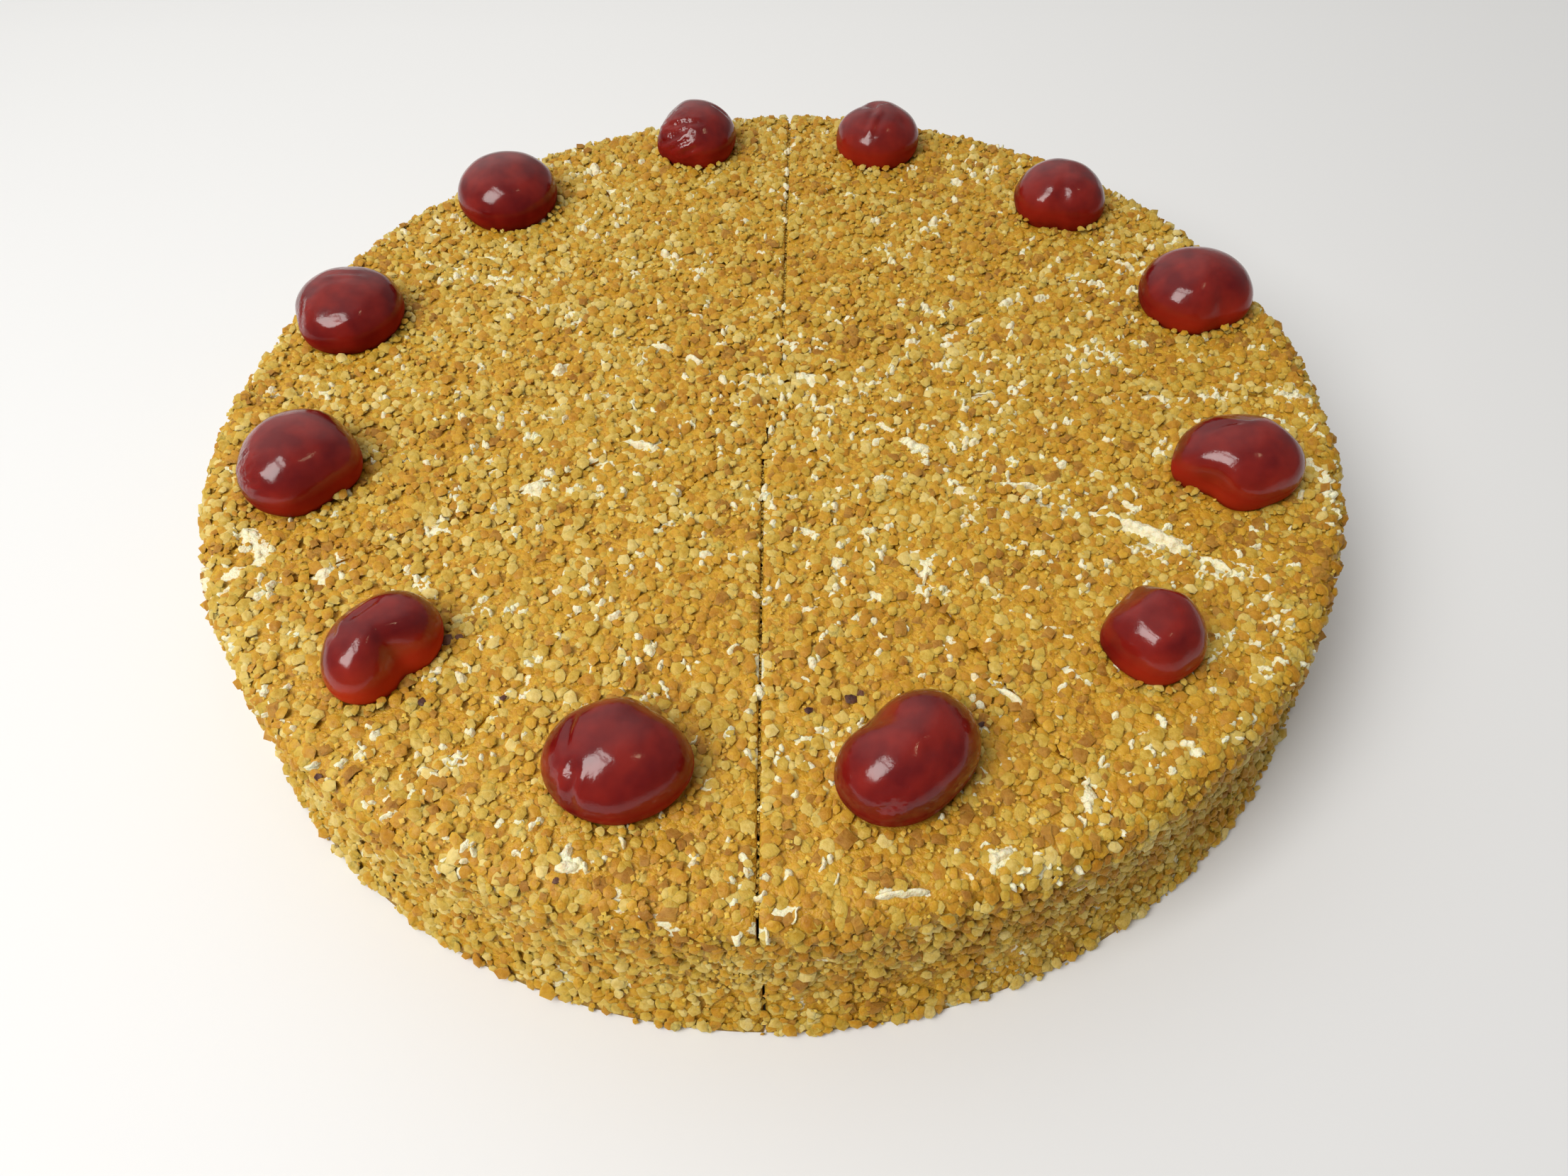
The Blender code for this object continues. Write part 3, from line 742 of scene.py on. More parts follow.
# Width and depth before the turn and height, in millimetres. Directions and rises are degrees
# notches: direction, share, spread (a bulge is below zero); flats: direction, rise, share left
# dents: direction, rise, depth, reach; creases: from direction and rise to direction and rise, depth, width
# wrinkles: direction, rise, reach, amount
# Each cherry also gives the direction in degrees and the strength of its painted glow of light shining
# through the jelly
cherries = [
    {"width": 25.6, "depth": 24.6, "height": 13.4, "notches": [(292, 0.12, 22)],
     "dents": [(294, 24, 1.0, 4.5)], "paintedGlow": 290, "paintedGlowShare": 0.6},
    {"width": 22.4, "depth": 22.4, "height": 12.6,
     "notches": [(262, 0.15, 20), (238, 0.04, 22), (322, -0.08, 24)], "flats": [(228, 50, 0.94)],
     "creases": [(285, 40, 345, 34, 0.22, 0.5)], "paintedGlow": 270, "paintedGlowShare": 0.35},
    {"width": 22.6, "depth": 22.6, "height": 12.8, "notches": [(128, 0.10, 22)],
     "dents": [(125, 70, 0.9, 2.6), (330, 48, 0.30, 1.5)],
     "creases": [(110, 66, 250, 72, 0.35, 0.9), (262, 80, 250, 40, -0.40, 0.9)],
     "paintedGlow": 260, "paintedGlowShare": 0.5, "wrinkles": [(100, 66, 4.5, 0.8)]},
    {"width": 21.4, "depth": 23.2, "height": 13.1,
     "notches": [(262, 0.06, 20), (165, 0.08, 22), (208, -0.08, 16)], "flats": [(150, 50, 0.93)],
     "dents": [(228, 34, 0.7, 3.6)],
     "creases": [(196, 18, 236, 52, 0.55, 0.7), (236, 52, 290, 56, 0.45, 0.7), (214, 10, 244, 34, 0.5, 0.6),
                 (232, 8, 262, 30, 0.45, 0.55), (251, 5, 272, 20, 0.4, 0.5), (226, 30, 258, 48, 0.3, 0.45),
                 (266, 12, 284, 24, 0.3, 0.45), (190, 34, 214, 44, 0.35, 0.6), (30, 60, 10, 34, 0.25, 0.7)],
     "paintedGlow": 330, "paintedGlowShare": 0.35, "wrinkles": [(222, 34, 8.0, 2.2)]},
    {"width": 25.6, "depth": 26.0, "height": 13.6,
     "paintedGlow": 300, "paintedGlowShare": 0.2},
    {"width": 24.9, "depth": 25.4, "height": 13.0, "notches": [(205, 0.08, 18)],
     "flats": [(285, 66, 0.88), (212, 34, 0.91)], "dents": [(60, 65, 0.5, 5.0)],
     "creases": [(140, 70, 40, 60, 0.35, 0.8), (205, 44, 228, 12, 0.30, 0.8), (268, 34, 330, 30, 0.25, 0.6)],
     "paintedGlow": 330, "paintedGlowShare": 0.25, "wrinkles": [(215, 30, 5.0, 0.8), (120, 60, 5.0, 0.7)]},
    {"width": 24.4, "depth": 26.0, "height": 13.6,
     "notches": [(315, 0.12, 30), (45, 0.07, 28), (352, -0.04, 16)], "dents": [(200, 40, 0.4, 4.0)],
     "creases": [(208, 8, 206, 50, 0.40, 0.5), (228, 20, 250, 34, 0.35, 0.5), (222, 24, 236, 44, 0.22, 0.5),
                 (238, 16, 258, 26, 0.25, 0.4)], "paintedGlow": 330, "paintedGlowShare": 0.45,
     "wrinkles": [(222, 32, 5.5, 1.1)]},
    {"width": 18.8, "depth": 23.2, "height": 12.6, "turn": -28, "notches": [(316, 0.34, 36), (20, -0.03, 26)],
     "dents": [(130, 60, 0.6, 4.0), (318, 22, 1.2, 5.0)],
     "creases": [(95, 60, 160, 66, 0.40, 0.8), (176, 40, 200, 52, 0.30, 1.0)], "paintedGlow": 305, "paintedGlowShare": 1.0},
    {"width": 24.8, "depth": 22.4, "height": 13.2,
     "notches": [(50, 0.16, 30), (120, 0.07, 25), (350, -0.04, 24)], "dents": [(165, 48, 0.7, 4.0)],
     "creases": [(238, 10, 224, 50, 0.65, 0.9), (150, 44, 196, 52, 0.35, 0.8)],
     "paintedGlow": 350, "paintedGlowShare": 0.5},
    {"width": 26.7, "depth": 20.8, "height": 14.4, "turn": 40, "notches": [(138, 0.14, 34), (318, 0.05, 30)],
     "dents": [(140, 50, 1.2, 5.5), (308, 64, 0.30, 1.3), (345, 56, 0.30, 1.4)],
     "creases": [(244, 12, 262, 30, 0.35, 0.7), (250, 8, 268, 24, 0.25, 0.5)], "paintedGlow": 320, "paintedGlowShare": 0.25,
     "wrinkles": [(255, 20, 3.0, 1.6)]},
    {"width": 17.6, "depth": 18.8, "height": 12.6,
     "notches": [(135, 0.08, 22), (180, -0.07, 16), (90, -0.05, 20), (230, 0.04, 20), (300, 0.04, 16)],
     "flats": [(245, 77, 0.88), (135, 42, 0.86), (75, 40, 0.86)],
     "paintedGlow": 310, "paintedGlowShare": 0.7},
    {"width": 25.2, "depth": 22.0, "height": 13.4,
     "notches": [(224, 0.24, 24), (300, 0.06, 22), (188, -0.09, 14)], "notchFade": 1.0,
     "flats": [(90, 55, 0.92), (30, 42, 0.90)], "dents": [(100, 66, 0.6, 4.0)],
     "creases": [(165, 46, 110, 70, 0.3, 0.8)], "paintedGlow": 262, "paintedGlowShare": 0.65},
]


def cherrySkin(cherry, direction, rise):
    direction = np.asarray(direction, float)
    rise = np.asarray(rise, float)
    local = np.radians(direction - cherry.get("turn", 0.0))
    radius = 1.0 / np.hypot(np.cos(local) / (cherry["width"] * mm / 2),
                            np.sin(local) / (cherry["depth"] * mm / 2))
    fading = 1.0 - cherry.get("notchFade", 0.0) * np.sin(np.radians(np.clip(rise, 0.0, 90.0)))
    for notch, share, spread in cherry.get("notches", []):
        away = degreesAway(direction, notch) / spread
        radius = radius * (1.0 - share * fading * np.exp(-away ** 2))
    height = cherry["height"] * mm
    lift = np.sin(np.radians(rise))
    span = np.where(rise > 0.0, (1.0 - cherryForm["widest"]) * height, cherryForm["undercut"] * height)
    out = radius * np.cos(np.radians(rise))
    return np.stack([out * np.cos(np.radians(direction)), out * np.sin(np.radians(direction)),
                     cherryForm["widest"] * height + span * lift], axis=-1)


def cherryEdge(cherry, direction):
    # how far out the skin lies where it meets the krokant
    rises = np.full(len(direction), cherryForm["edgeRise"])
    return np.hypot(*cherrySkin(cherry, direction, rises)[:, :2].T)


def segmentAway(points, start, end):
    # how far points lie from a short line
    line = end - start
    share = np.clip(((points - start) @ line) / (line @ line), 0.0, 1.0)
    return np.linalg.norm(points - (start + share[:, None] * line), axis=1), share


def spotAway(points, cherry, direction, rise, reach):
    return np.linalg.norm(points - cherrySkin(cherry, direction, rise), axis=1) / (reach * mm)


def pressedFlats(points, cherry, centre, edge):
    form = cherryForm
    for direction, rise, share in cherry.get("flats", []):
        facing = np.array(pointing(direction, rise))
        reach = (points - centre) @ facing
        excess = np.maximum(reach - share * reach.max(), 0.0)
        flattened = form["flatness"] * excess ** 2 / (excess + form["flatEdge"]) * edge
        points = points - facing * flattened[:, None]
    return points


def pressedDepth(points, cherry, index):
    form = cherryForm
    press = np.zeros(len(points))
    for direction, rise, depth, reach in cherry.get("dents", []):
        press += depth * mm * np.exp(-spotAway(points, cherry, direction, rise, reach) ** 2)
    for fromDirection, fromRise, toDirection, toRise, depth, width in cherry.get("creases", []):
        away, share = segmentAway(points, cherrySkin(cherry, fromDirection, fromRise),
                                  cherrySkin(cherry, toDirection, toRise))
        fade = eased(4.0 * share * (1.0 - share) * form["creaseFade"])
        across = away / (width * mm)
        lip = form["creaseLip"] * np.exp(-((across - form["lipAway"]) / form["lipWidth"]) ** 2)
        press += depth * mm * (np.exp(-across ** 2) - lip) * (form["creaseEnd"] + form["creaseMiddle"] * fade)
    return press + form["wobble"] * softNoise(points + index, form["wobbleSize"], seeds["cherry"])


def storeCherryLooks(item, cherry, points, outward):
    # where a painted glow of light shining through the jelly lies, on one side and toward the foot; where its
    # skin has wrinkled, and where sugar crusts its foot
    paintedGlow = paintedGlowLook
    toward = np.radians(cherry["paintedGlow"])
    facing = outward[:, 0] * math.cos(toward) + outward[:, 1] * math.sin(toward)
    facing = eased(paintedGlow["middle"] + paintedGlow["spread"] * facing)
    reach = paintedGlow["height"] * (paintedGlow["shadedHeight"] + paintedGlow["litHeight"] * facing)
    thin = 1.0 - eased(points[:, 2] / reach)
    # painted glow: strongest on the side it faces and near the foot
    paintedGlowing = cherry["paintedGlowShare"] * thin * (paintedGlow["shaded"] + paintedGlow["lit"] * facing)
    storeNumbers(item, "paintedGlow", np.clip(paintedGlowing, 0.0, 1.0))
    wrinkled = np.zeros(len(points))
    for direction, rise, reach, amount in cherry.get("wrinkles", []):
        away = spotAway(points, cherry, direction, rise, reach)
        wrinkled = np.maximum(wrinkled, amount * (1.0 - eased(away - cherryForm["wrinkleStart"])))
    storeNumbers(item, "wrinkled", wrinkled)
    storeNumbers(item, "crusted", 1.0 - eased(points[:, 2] / cherryForm["crustHeight"]))


def buildCherry(index, material):
    form = cherryForm
    cherry = cherries[index]
    low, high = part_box(f"cherry_{index + 1:02d}")
    baseRise = -math.degrees(math.asin(form["widest"] / form["undercut"]))
    around = form["around"]
    rises = np.concatenate([np.linspace(baseRise, 0.0, form["undersideRings"])[:-1],
                            np.linspace(0.0, form["topRing"], form["rings"] - form["undersideRings"] + 1)])
    direction, rise = np.meshgrid(np.arange(around) * 360.0 / around, rises)
    skin = cherrySkin(cherry, direction.ravel(), rise.ravel())
    points = np.concatenate([skin, cherrySkin(cherry, [0.0], [90.0])])
    centre = np.array([0.0, 0.0, form["widest"] * cherry["height"] * mm])
    outward = unit(points - centre)
    edge = eased((points[:, 2] - form["footHeight"]) / form["footFade"])
    points = pressedFlats(points, cherry, centre, edge)
    points = points - outward * (pressedDepth(points, cherry, index) * edge)[:, None]
    faces = []
    for ring in range(len(rises) - 1):
        for side in range(around):
            after = (side + 1) % around
            faces.append((ring * around + side, ring * around + after,
                          (ring + 1) * around + after, (ring + 1) * around + side))
    last = (len(rises) - 1) * around
    crown = len(points) - 1
    faces += [(last + side, last + (side + 1) % around, crown) for side in range(around)]
    faces.append(list(range(around))[::-1])
    cadMiddle = np.array([(low.x + high.x) / 2, (low.y + high.y) / 2, low.z])
    ownMiddle = np.array([(points[:, 0].min() + points[:, 0].max()) / 2,
                          (points[:, 1].min() + points[:, 1].max()) / 2, points[:, 2].min()])
    item = meshObject(f"glaceCherry_{index + 1:02d}", points - ownMiddle + cadMiddle, faces, material)
    storeCherryLooks(item, cherry, points, outward)
    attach(item, "root")
    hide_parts(f"cherry_{index + 1:02d}")
    return (cadMiddle - ownMiddle)[:2]


cherryLook = {
    "deep": (0.135, 0.0046, 0.0048),
    "body": (0.232, 0.0118, 0.0072),
    "bodyScale": 160.0,
    "bodyStops": (0.35, 0.65),
    # the colour of the painted glow of light shining through thin jelly
    "paintedGlow": (0.540, 0.042, 0.0110),
    "paintedGlowStops": (0.1, 0.95),
    "roughness": (0.14, 0.50),
    "roughStops": (0.2, 1.0),
    "gloss": (0.5, 0.02),
    "glossStops": (0.12, 0.42),
    "furrowScale": 620.0,
    "furrowDepth": 9.0,
    "skinScale": 700.0,
    "bump": (0.10, 0.0005),
}


def cherryMaterial():
    # clear dark jelly under a gloss of syrup, with a painted glow of light shining through it on one side and
    # toward the foot
    look = cherryLook
    material = newMaterial("glaceCherry", Roughness=0.16, IOR=1.45, Subsurface_Weight=0.35,
                           Subsurface_Scale=0.004, Subsurface_Radius=(1.0, 0.16, 0.07))
    clouds = noiseTexture(material, look["bodyScale"], 2.0)
    body = colourRamp(material, clouds, look["bodyStops"], (look["deep"], look["body"]))
    # a painted glow of light shining through the jelly, mixed into the body colour
    paintedGlow = colourRamp(material, attribute(material, "paintedGlow"), look["paintedGlowStops"], blackToWhite)
    toShader(material, "Base Color", mixColours(material, paintedGlow, body, look["paintedGlow"]))
    crust = attribute(material, "crusted")
    rough = colourRamp(material, crust, look["roughStops"], greys(*look["roughness"]))
    gloss = colourRamp(material, crust, look["glossStops"], greys(*look["gloss"]))
    toShader(material, "Roughness", rough)
    toShader(material, "Specular IOR Level", gloss)
    wrinkled = mathNode(material, "MULTIPLY", attribute(material, "wrinkled"), look["furrowDepth"])
    furrows = mathNode(material, "MULTIPLY", noiseTexture(material, look["furrowScale"], 1.5), wrinkled)
    skin = mathNode(material, "ADD", noiseTexture(material, look["skinScale"], 3.0), furrows)
    bump(material, skin, *look["bump"])
    return material


glace = cherryMaterial()
cherryMiddles = [buildCherry(index, glace) for index in range(sliceCount)]
print("cherries built")


# The krokant: chopped, caramelised nuts, each kind of grain one piece

krokantKinds = [
    {"name": "krokantHoney", "share": 0.21, "solid": "lump", "roughness": 0.46,
     "dark": (0.47, 0.275, 0.020), "light": (0.63, 0.430, 0.076)},
    {"name": "krokantGold", "share": 0.16, "solid": "lump", "roughness": 0.46,
     "dark": (0.53, 0.340, 0.044), "light": (0.68, 0.500, 0.135)},
    {"name": "krokantAmber", "share": 0.20, "solid": "lump", "roughness": 0.42,
     "dark": (0.48, 0.226, 0.011), "light": (0.62, 0.350, 0.032)},
    {"name": "krokantToffee", "share": 0.19, "solid": "lump", "roughness": 0.46,
     "dark": (0.42, 0.178, 0.009), "light": (0.56, 0.288, 0.027)},
    {"name": "krokantPaleNut", "share": 0.08, "solid": "lump", "roughness": 0.55,
     "dark": (0.61, 0.430, 0.100), "light": (0.76, 0.59, 0.215)},
    {"name": "krokantRoastNut", "share": 0.12, "solid": "chip", "roughness": 0.58,
     "dark": (0.31, 0.125, 0.009), "light": (0.46, 0.23, 0.032)},
]
brownToPale = ("krokantRoastNut", "krokantToffee", "krokantAmber", "krokantHoney", "krokantGold",
               "krokantPaleNut")
krokantLook = {
    "mottleScale": 800.0,
    "mottleSwing": 1.7,
    "mottleShift": 0.54,
    "toneSwing": 0.45,
    "stops": (0.15, 0.80),
    "bumpScale": 1300.0,
    "bump": (0.5, 0.0005),
}
krokantDrifts = {  # where the kinds gather
    "size": 17.0 * mm,
    "fineSize": 6.0 * mm,
    "fineShare": 0.5,
    "closeSize": 2.6 * mm,
    "chance": 0.40,
    "drift": 0.16,
    "close": 0.18,
    "palerLoose": 0.5,
    # paler toward the back and the left, and low on the wall: painted light, and painted light bounced up
    # from the floor
    "paintedLightBack": 0.09,
    "paintedLightLeft": 0.08,
    "paintedBounceFoot": 0.15,
    "footHeight": 22.0 * mm,
    "footFade": 12.0 * mm,
}
# The layers in the order that they are laid: how many grains, how large, how high above the cream, and the
# share of them that a gap keeps away
krokantLayers = {
    "base": {"first": 0.8 * mm, "last": 0.3 * mm, "rowStep": 1.86 * mm, "grainStep": 2.04 * mm, "loose": 0.44,
             "size": (1.5 * mm, 4.0 * mm), "rise": 0.0, "gapLoss": 0.06},
    "upper": {"grains": 8200, "drift": 0.40, "seed": "upperDrift",
              "size": (1.2 * mm, 3.8 * mm), "rise": 0.75 * mm, "gapLoss": 0.80},
    "edge": {"grains": 2600, "onRim": 0.6, "rimReach": (-2.0, 7.0), "footReach": (0.0, 5.0),
             "heapSize": 4.5 * mm, "heaped": 0.05,
             "size": (1.8 * mm, 4.0 * mm), "rise": 0.50 * mm, "gapLoss": 0.80},
    "collar": {"grains": 46, "reach": (-0.1, 0.8),
               "size": (1.1 * mm, 2.9 * mm), "rise": 0.6 * mm, "gapLoss": 0.80},
    "heap": {"grains": 46, "reach": (-0.1, 0.8), "heapSize": 0.8, "heaped": -0.05,
             "size": (1.1 * mm, 2.9 * mm), "rise": 1.7 * mm, "gapLoss": 0.80},
    "fine": {"grains": 13000, "drift": 0.35, "seed": "fineDrift",
             "size": (0.7 * mm, 1.6 * mm), "rise": 0.60 * mm, "gapLoss": 0.80},
}
krokantLaying = {
    "sizeSpread": (1.6, 2.6),
    "driftSize": 9.0 * mm,
    "fineDriftSize": 3.5 * mm,
    "fineDriftShare": 0.7,
    "sink": 0.50,  # of a grain's size, from its underside
    "uneven": (-0.2, 0.25),  # millimetres, up and down
    "streakStart": 0.30,
    "streakSoft": 0.45,
    "streakLoss": 0.94,
    "cherryRoom": -0.5 * mm,
    "cherryFloor": 20.0 * mm,
    "cutStarts": {3: 22.0 * mm, 9: 21.0 * mm},
    "cutRoom": 0.44,
    "slitFloor": 33.0 * mm,
    "floorRoom": 0.60,
    "edgeRadius": 126.1 * mm,
}


def krokantMaterial(kind):
    look = krokantLook
    material = newMaterial(kind["name"], Roughness=kind["roughness"], IOR=1.45, Specular_IOR_Level=0.30,
                           Subsurface_Weight=0.5, Subsurface_Scale=0.0010, Subsurface_Radius=(1.0, 0.8, 0.5))
    mottle = mathNode(material, "MULTIPLY", noiseTexture(material, look["mottleScale"]), look["mottleSwing"])
    mottle = mathNode(material, "SUBTRACT", mottle, look["mottleShift"])
    tone = mathNode(material, "MULTIPLY", attribute(material, "tone"), look["toneSwing"])
    tone = mathNode(material, "ADD", tone, mottle)
    toShader(material, "Base Color", colourRamp(material, tone, look["stops"], (kind["dark"], kind["light"])))
    bump(material, noiseTexture(material, look["bumpScale"]), *look["bump"])
    return material


def rowPlaces(layer):
    # rows round the torte from the middle to the foot, loosened by chance
    alongs = []
    angles = []
    along = layer["first"]
    while along < coatLength() - layer["last"]:
        radius = float(creamProfile(np.array([along]))[0][0])
        count = max(3, round(math.tau * radius / layer["grainStep"]))
        loose = draw.uniform(-layer["loose"], layer["loose"], (2, count))
        alongs.append(along + loose[0] * layer["rowStep"])
        angles.append((np.arange(count) + draw.uniform(0.0, 1.0) + loose[1]) * math.tau / count)
        along += layer["rowStep"]
    return np.clip(np.concatenate(alongs), 0.0, coatLength()), np.concatenate(angles) % math.tau


def scatteredPlaces(layer):
    # as many for each area of the top as of the wall, in loose drifts
    laying = krokantLaying
    tries = layer["grains"] * 3
    rim = torteForm["rimRadius"]
    wall = coatLength() - rim
    onTop = draw.uniform(0.0, 1.0, tries) < (rim / 2) / (rim / 2 + wall)
    alongTop = rim * np.sqrt(draw.uniform(0.0, 1.0, tries))
    along = np.where(onTop, alongTop, rim + wall * draw.uniform(0.0, 1.0, tries))
    angle = draw.uniform(0.0, math.tau, tries)
    points = creamSurface(along, angle)[0]
    seed = seeds[layer["seed"]]
    drift = softNoise(points, laying["driftSize"], seed)
    drift = drift + laying["fineDriftShare"] * softNoise(points, laying["fineDriftSize"], seed + 1)
    keep = draw.uniform(0.0, 1.0, tries) < 0.5 + layer["drift"] * drift
    chosen = np.flatnonzero(keep)[:layer["grains"]]
    return along[chosen], angle[chosen]


def edgePlaces(layer):
    # heaps of larger grains on the rim and at the foot
    form = torteForm
    count = layer["grains"]
    rim = form["rimRadius"] - form["krokantDepth"] - form["rimRounding"]
    onRim = draw.uniform(0.0, 1.0, count) < layer["onRim"]
    nearRim = rim + draw.uniform(*layer["rimReach"], count) * mm
    nearFoot = coatLength() - draw.uniform(*layer["footReach"], count) * mm
    along = np.where(onRim, nearRim, nearFoot)
    angle = draw.uniform(0.0, math.tau, count)
    heaps = softNoise(creamSurface(along, angle)[0], layer["heapSize"], seeds["edgeHeaps"])
    chosen = heaps > layer["heaped"]
    return along[chosen], angle[chosen]


def collarPlaces(layer):
    # grains that have piled up against the cherries: a full ring, or heaps of them here and there
    points = []
    for cherry, middle in zip(cherries, cherryMiddles):
        direction = draw.uniform(0.0, 360.0, layer["grains"])
        if "heapSize" in layer:
            turn = np.radians(direction)
            ring = np.stack([np.cos(turn), np.sin(turn), np.full(len(turn), middle[0] / mm)], axis=1)
            direction = direction[softNoise(ring, layer["heapSize"], seeds["collarHeaps"]) > layer["heaped"]]
        out = cherryEdge(cherry, direction) + draw.uniform(*layer["reach"], len(direction)) * mm
        turn = np.radians(direction)
        points.append(np.stack([out * np.cos(turn), out * np.sin(turn)], axis=1) + middle)
    points = np.concatenate(points)
    return np.hypot(points[:, 0], points[:, 1]), np.arctan2(points[:, 1], points[:, 0]) % math.tau


def fromCut(points, cut):
    # how far points lie to the counterclockwise side of a cut, and how far out along it
    angle = cut * sliceAngle
    out = points[:, 0] * math.cos(angle) + points[:, 1] * math.sin(angle)
    aside = points[:, 1] * math.cos(angle) - points[:, 0] * math.sin(angle)
    return aside - cutWander(cut, np.maximum(out, 0.0)), out


def insideCherries(points):
    laying = krokantLaying
    inside = np.zeros(len(points), bool)
    for cherry, middle in zip(cherries, cherryMiddles):
        offset = points[:, :2] - middle
        edge = cherryEdge(cherry, np.degrees(np.arctan2(offset[:, 1], offset[:, 0])))
        near = np.hypot(offset[:, 0], offset[:, 1]) < edge + laying["cherryRoom"]
        inside |= near & (points[:, 2] > laying["cherryFloor"])
    return inside


def settleGrains(layer, along, angle, size):
    # lays grains on the cream, and drops those on open cream or under cherries
    laying = krokantLaying
    points, outward = creamSurface(along, angle)
    count = len(points)
    streak = eased((streakBareness(points) - laying["streakStart"]) / laying["streakSoft"])
    loss = np.maximum(streak * laying["streakLoss"], gapBareness(points) * layer["gapLoss"])
    lift = layer["rise"] + size * (0.5 - laying["sink"]) + draw.uniform(*laying["uneven"], count) * mm
    points = points + outward * lift[:, None]
    keep = draw.uniform(0.0, 1.0, count) > loss
    keep &= ~insideCherries(points)
    for cut, start in laying["cutStarts"].items():  # the open cuts stay clear
        aside, out = fromCut(points, cut)
        room = torteForm["openCuts"][cut] / 2 + size * laying["cutRoom"]
        tight = (out > start) & (np.abs(aside) < room) & (points[:, 2] > laying["slitFloor"])
        shift = np.where(tight, np.sign(aside) * room - aside, 0.0)
        points[:, 0] -= shift * math.sin(cut * sliceAngle)
        points[:, 1] += shift * math.cos(cut * sliceAngle)
    points[:, 2] = np.maximum(points[:, 2], size * laying["floorRoom"])
    distance = np.hypot(points[:, 0], points[:, 1])
    points[:, :2] *= np.minimum(1.0, (laying["edgeRadius"] - size / 2) / np.maximum(distance, mm))[:, None]
    return points[keep], size[keep], outward[keep]


def laidLayer(name, places):
    layer = krokantLayers[name]
    along, angle = places(layer)
    low, high = layer["size"]
    size = low + (high - low) * draw.beta(*krokantLaying["sizeSpread"], len(along))
    return settleGrains(layer, along, angle, size)


def kindsOf(points):
    # the kinds lie in drifts: some stretches are paler, some browner. Paler kinds toward the back and the
    # left are painted light, and paler kinds low on the wall are painted light bounced up from the floor
    drifts = krokantDrifts
    drift = softNoise(points, drifts["size"], seeds["kinds"])
    drift = drift + drifts["fineShare"] * softNoise(points, drifts["fineSize"], seeds["fineKinds"])
    palerAndPaintedLight = drifts["palerLoose"] * (looseness(points) - gapMaking["middle"])
    # painted light: paler kinds toward the back and the left
    aside = drifts["paintedLightBack"] * points[:, 1] - drifts["paintedLightLeft"] * points[:, 0]
    palerAndPaintedLight = palerAndPaintedLight + aside / torteForm["rimRadius"]
    # painted light bounced up from the floor: paler kinds low on the wall
    palerAndPaintedLight += drifts["paintedBounceFoot"] * (1.0 - eased((points[:, 2] - drifts["footHeight"]) / drifts["footFade"]))
    close = softNoise(points, drifts["closeSize"], seeds["closeKinds"])
    pick = 0.5 + draw.uniform(-drifts["chance"], drifts["chance"], len(points))
    pick = np.clip(pick + drifts["drift"] * drift + drifts["close"] * close + palerAndPaintedLight, 0.0, 0.9999)
    names = [kind["name"] for kind in krokantKinds]
    order = np.array([names.index(name) for name in brownToPale])
    limits = np.cumsum([krokantKinds[i]["share"] for i in order])
    return order[np.minimum(np.searchsorted(limits / limits[-1], pick), len(names) - 1)]


def layKrokant():
    laid = [laidLayer(name, places) for name, places in (
        ("base", rowPlaces), ("upper", scatteredPlaces), ("edge", edgePlaces),
        ("collar", collarPlaces), ("heap", collarPlaces))]
    points, sizes, outward = (np.concatenate(values) for values in zip(*laid))
    return points, sizes, outward, kindsOf(points)


# The forms of a grain: corners about as far out as 1, and triangles

grainForm = {
    "lumps": (0.82, 1.14),
    "shift": 0.15,
    "breadth": (0.70, 1.0),
    "thickness": (0.50, 0.80),
    "tilt": 28.0,
    "tiltSpread": 0.6,
    "toneSpread": 0.28,
    "toneDrift": 0.35,
    "toneSize": 4.0 * mm,
    "worn": 0.64,
    "wallLean": 0.55,
    "chipCorner": 1.45,
}


def randomTurns(count):
    w, x, y, z = unit(draw.normal(size=(count, 4))).T
    return np.stack([
        np.stack([1 - 2 * (y * y + z * z), 2 * (x * y - z * w), 2 * (x * z + y * w)], axis=1),
        np.stack([2 * (x * y + z * w), 1 - 2 * (x * x + z * z), 2 * (y * z - x * w)], axis=1),
        np.stack([2 * (x * z - y * w), 2 * (y * z + x * w), 1 - 2 * (x * x + y * y)], axis=1)], axis=1)


def tiltedFrames(outward):
    # turns that lay a grain's thin side on the cream, each at its own spin and a small tilt
    count = len(outward)
    tilt = math.tan(math.radians(grainForm["tilt"])) * draw.normal(0.0, grainForm["tiltSpread"], (count, 3))
    up = unit(outward + tilt)
    side = unit(np.cross(up, draw.normal(size=(count, 3))))
    return np.stack([side, np.cross(up, side), up], axis=2)


def icosahedron():
    golden = (1 + math.sqrt(5)) / 2
    corners = []
    for a in (-1, 1):
        for b in (-golden, golden):
            corners += [(0, a, b), (a, b, 0), (b, 0, a)]
    corners = np.array(corners) / math.sqrt(1 + golden * golden)
    edge = min(np.linalg.norm(corners[0] - other) for other in corners[1:])
    faces = []
    for a in range(12):
        for b in range(a + 1, 12):
            for c in range(b + 1, 12):
                sides = [np.linalg.norm(corners[p] - corners[q]) for p, q in ((a, b), (b, c), (a, c))]
                if max(sides) < edge * 1.1:
                    turned = np.dot(np.cross(corners[b] - corners[a], corners[c] - corners[a]), corners[a])
                    faces.append((a, b, c) if turned > 0 else (a, c, b))
    return corners, np.array(faces)


def hexahedron():
    corners = np.array([(x, y, z) for x in (-1, 1) for y in (-1, 1) for z in (-1, 1)])
    quads = [(0, 1, 3, 2), (4, 6, 7, 5), (0, 4, 5, 1), (2, 3, 7, 6), (0, 2, 6, 4), (1, 5, 7, 3)]
    faces = [half for a, b, c, d in quads for half in ((a, b, c), (a, c, d))]
    return corners / grainForm["chipCorner"], np.array(faces)


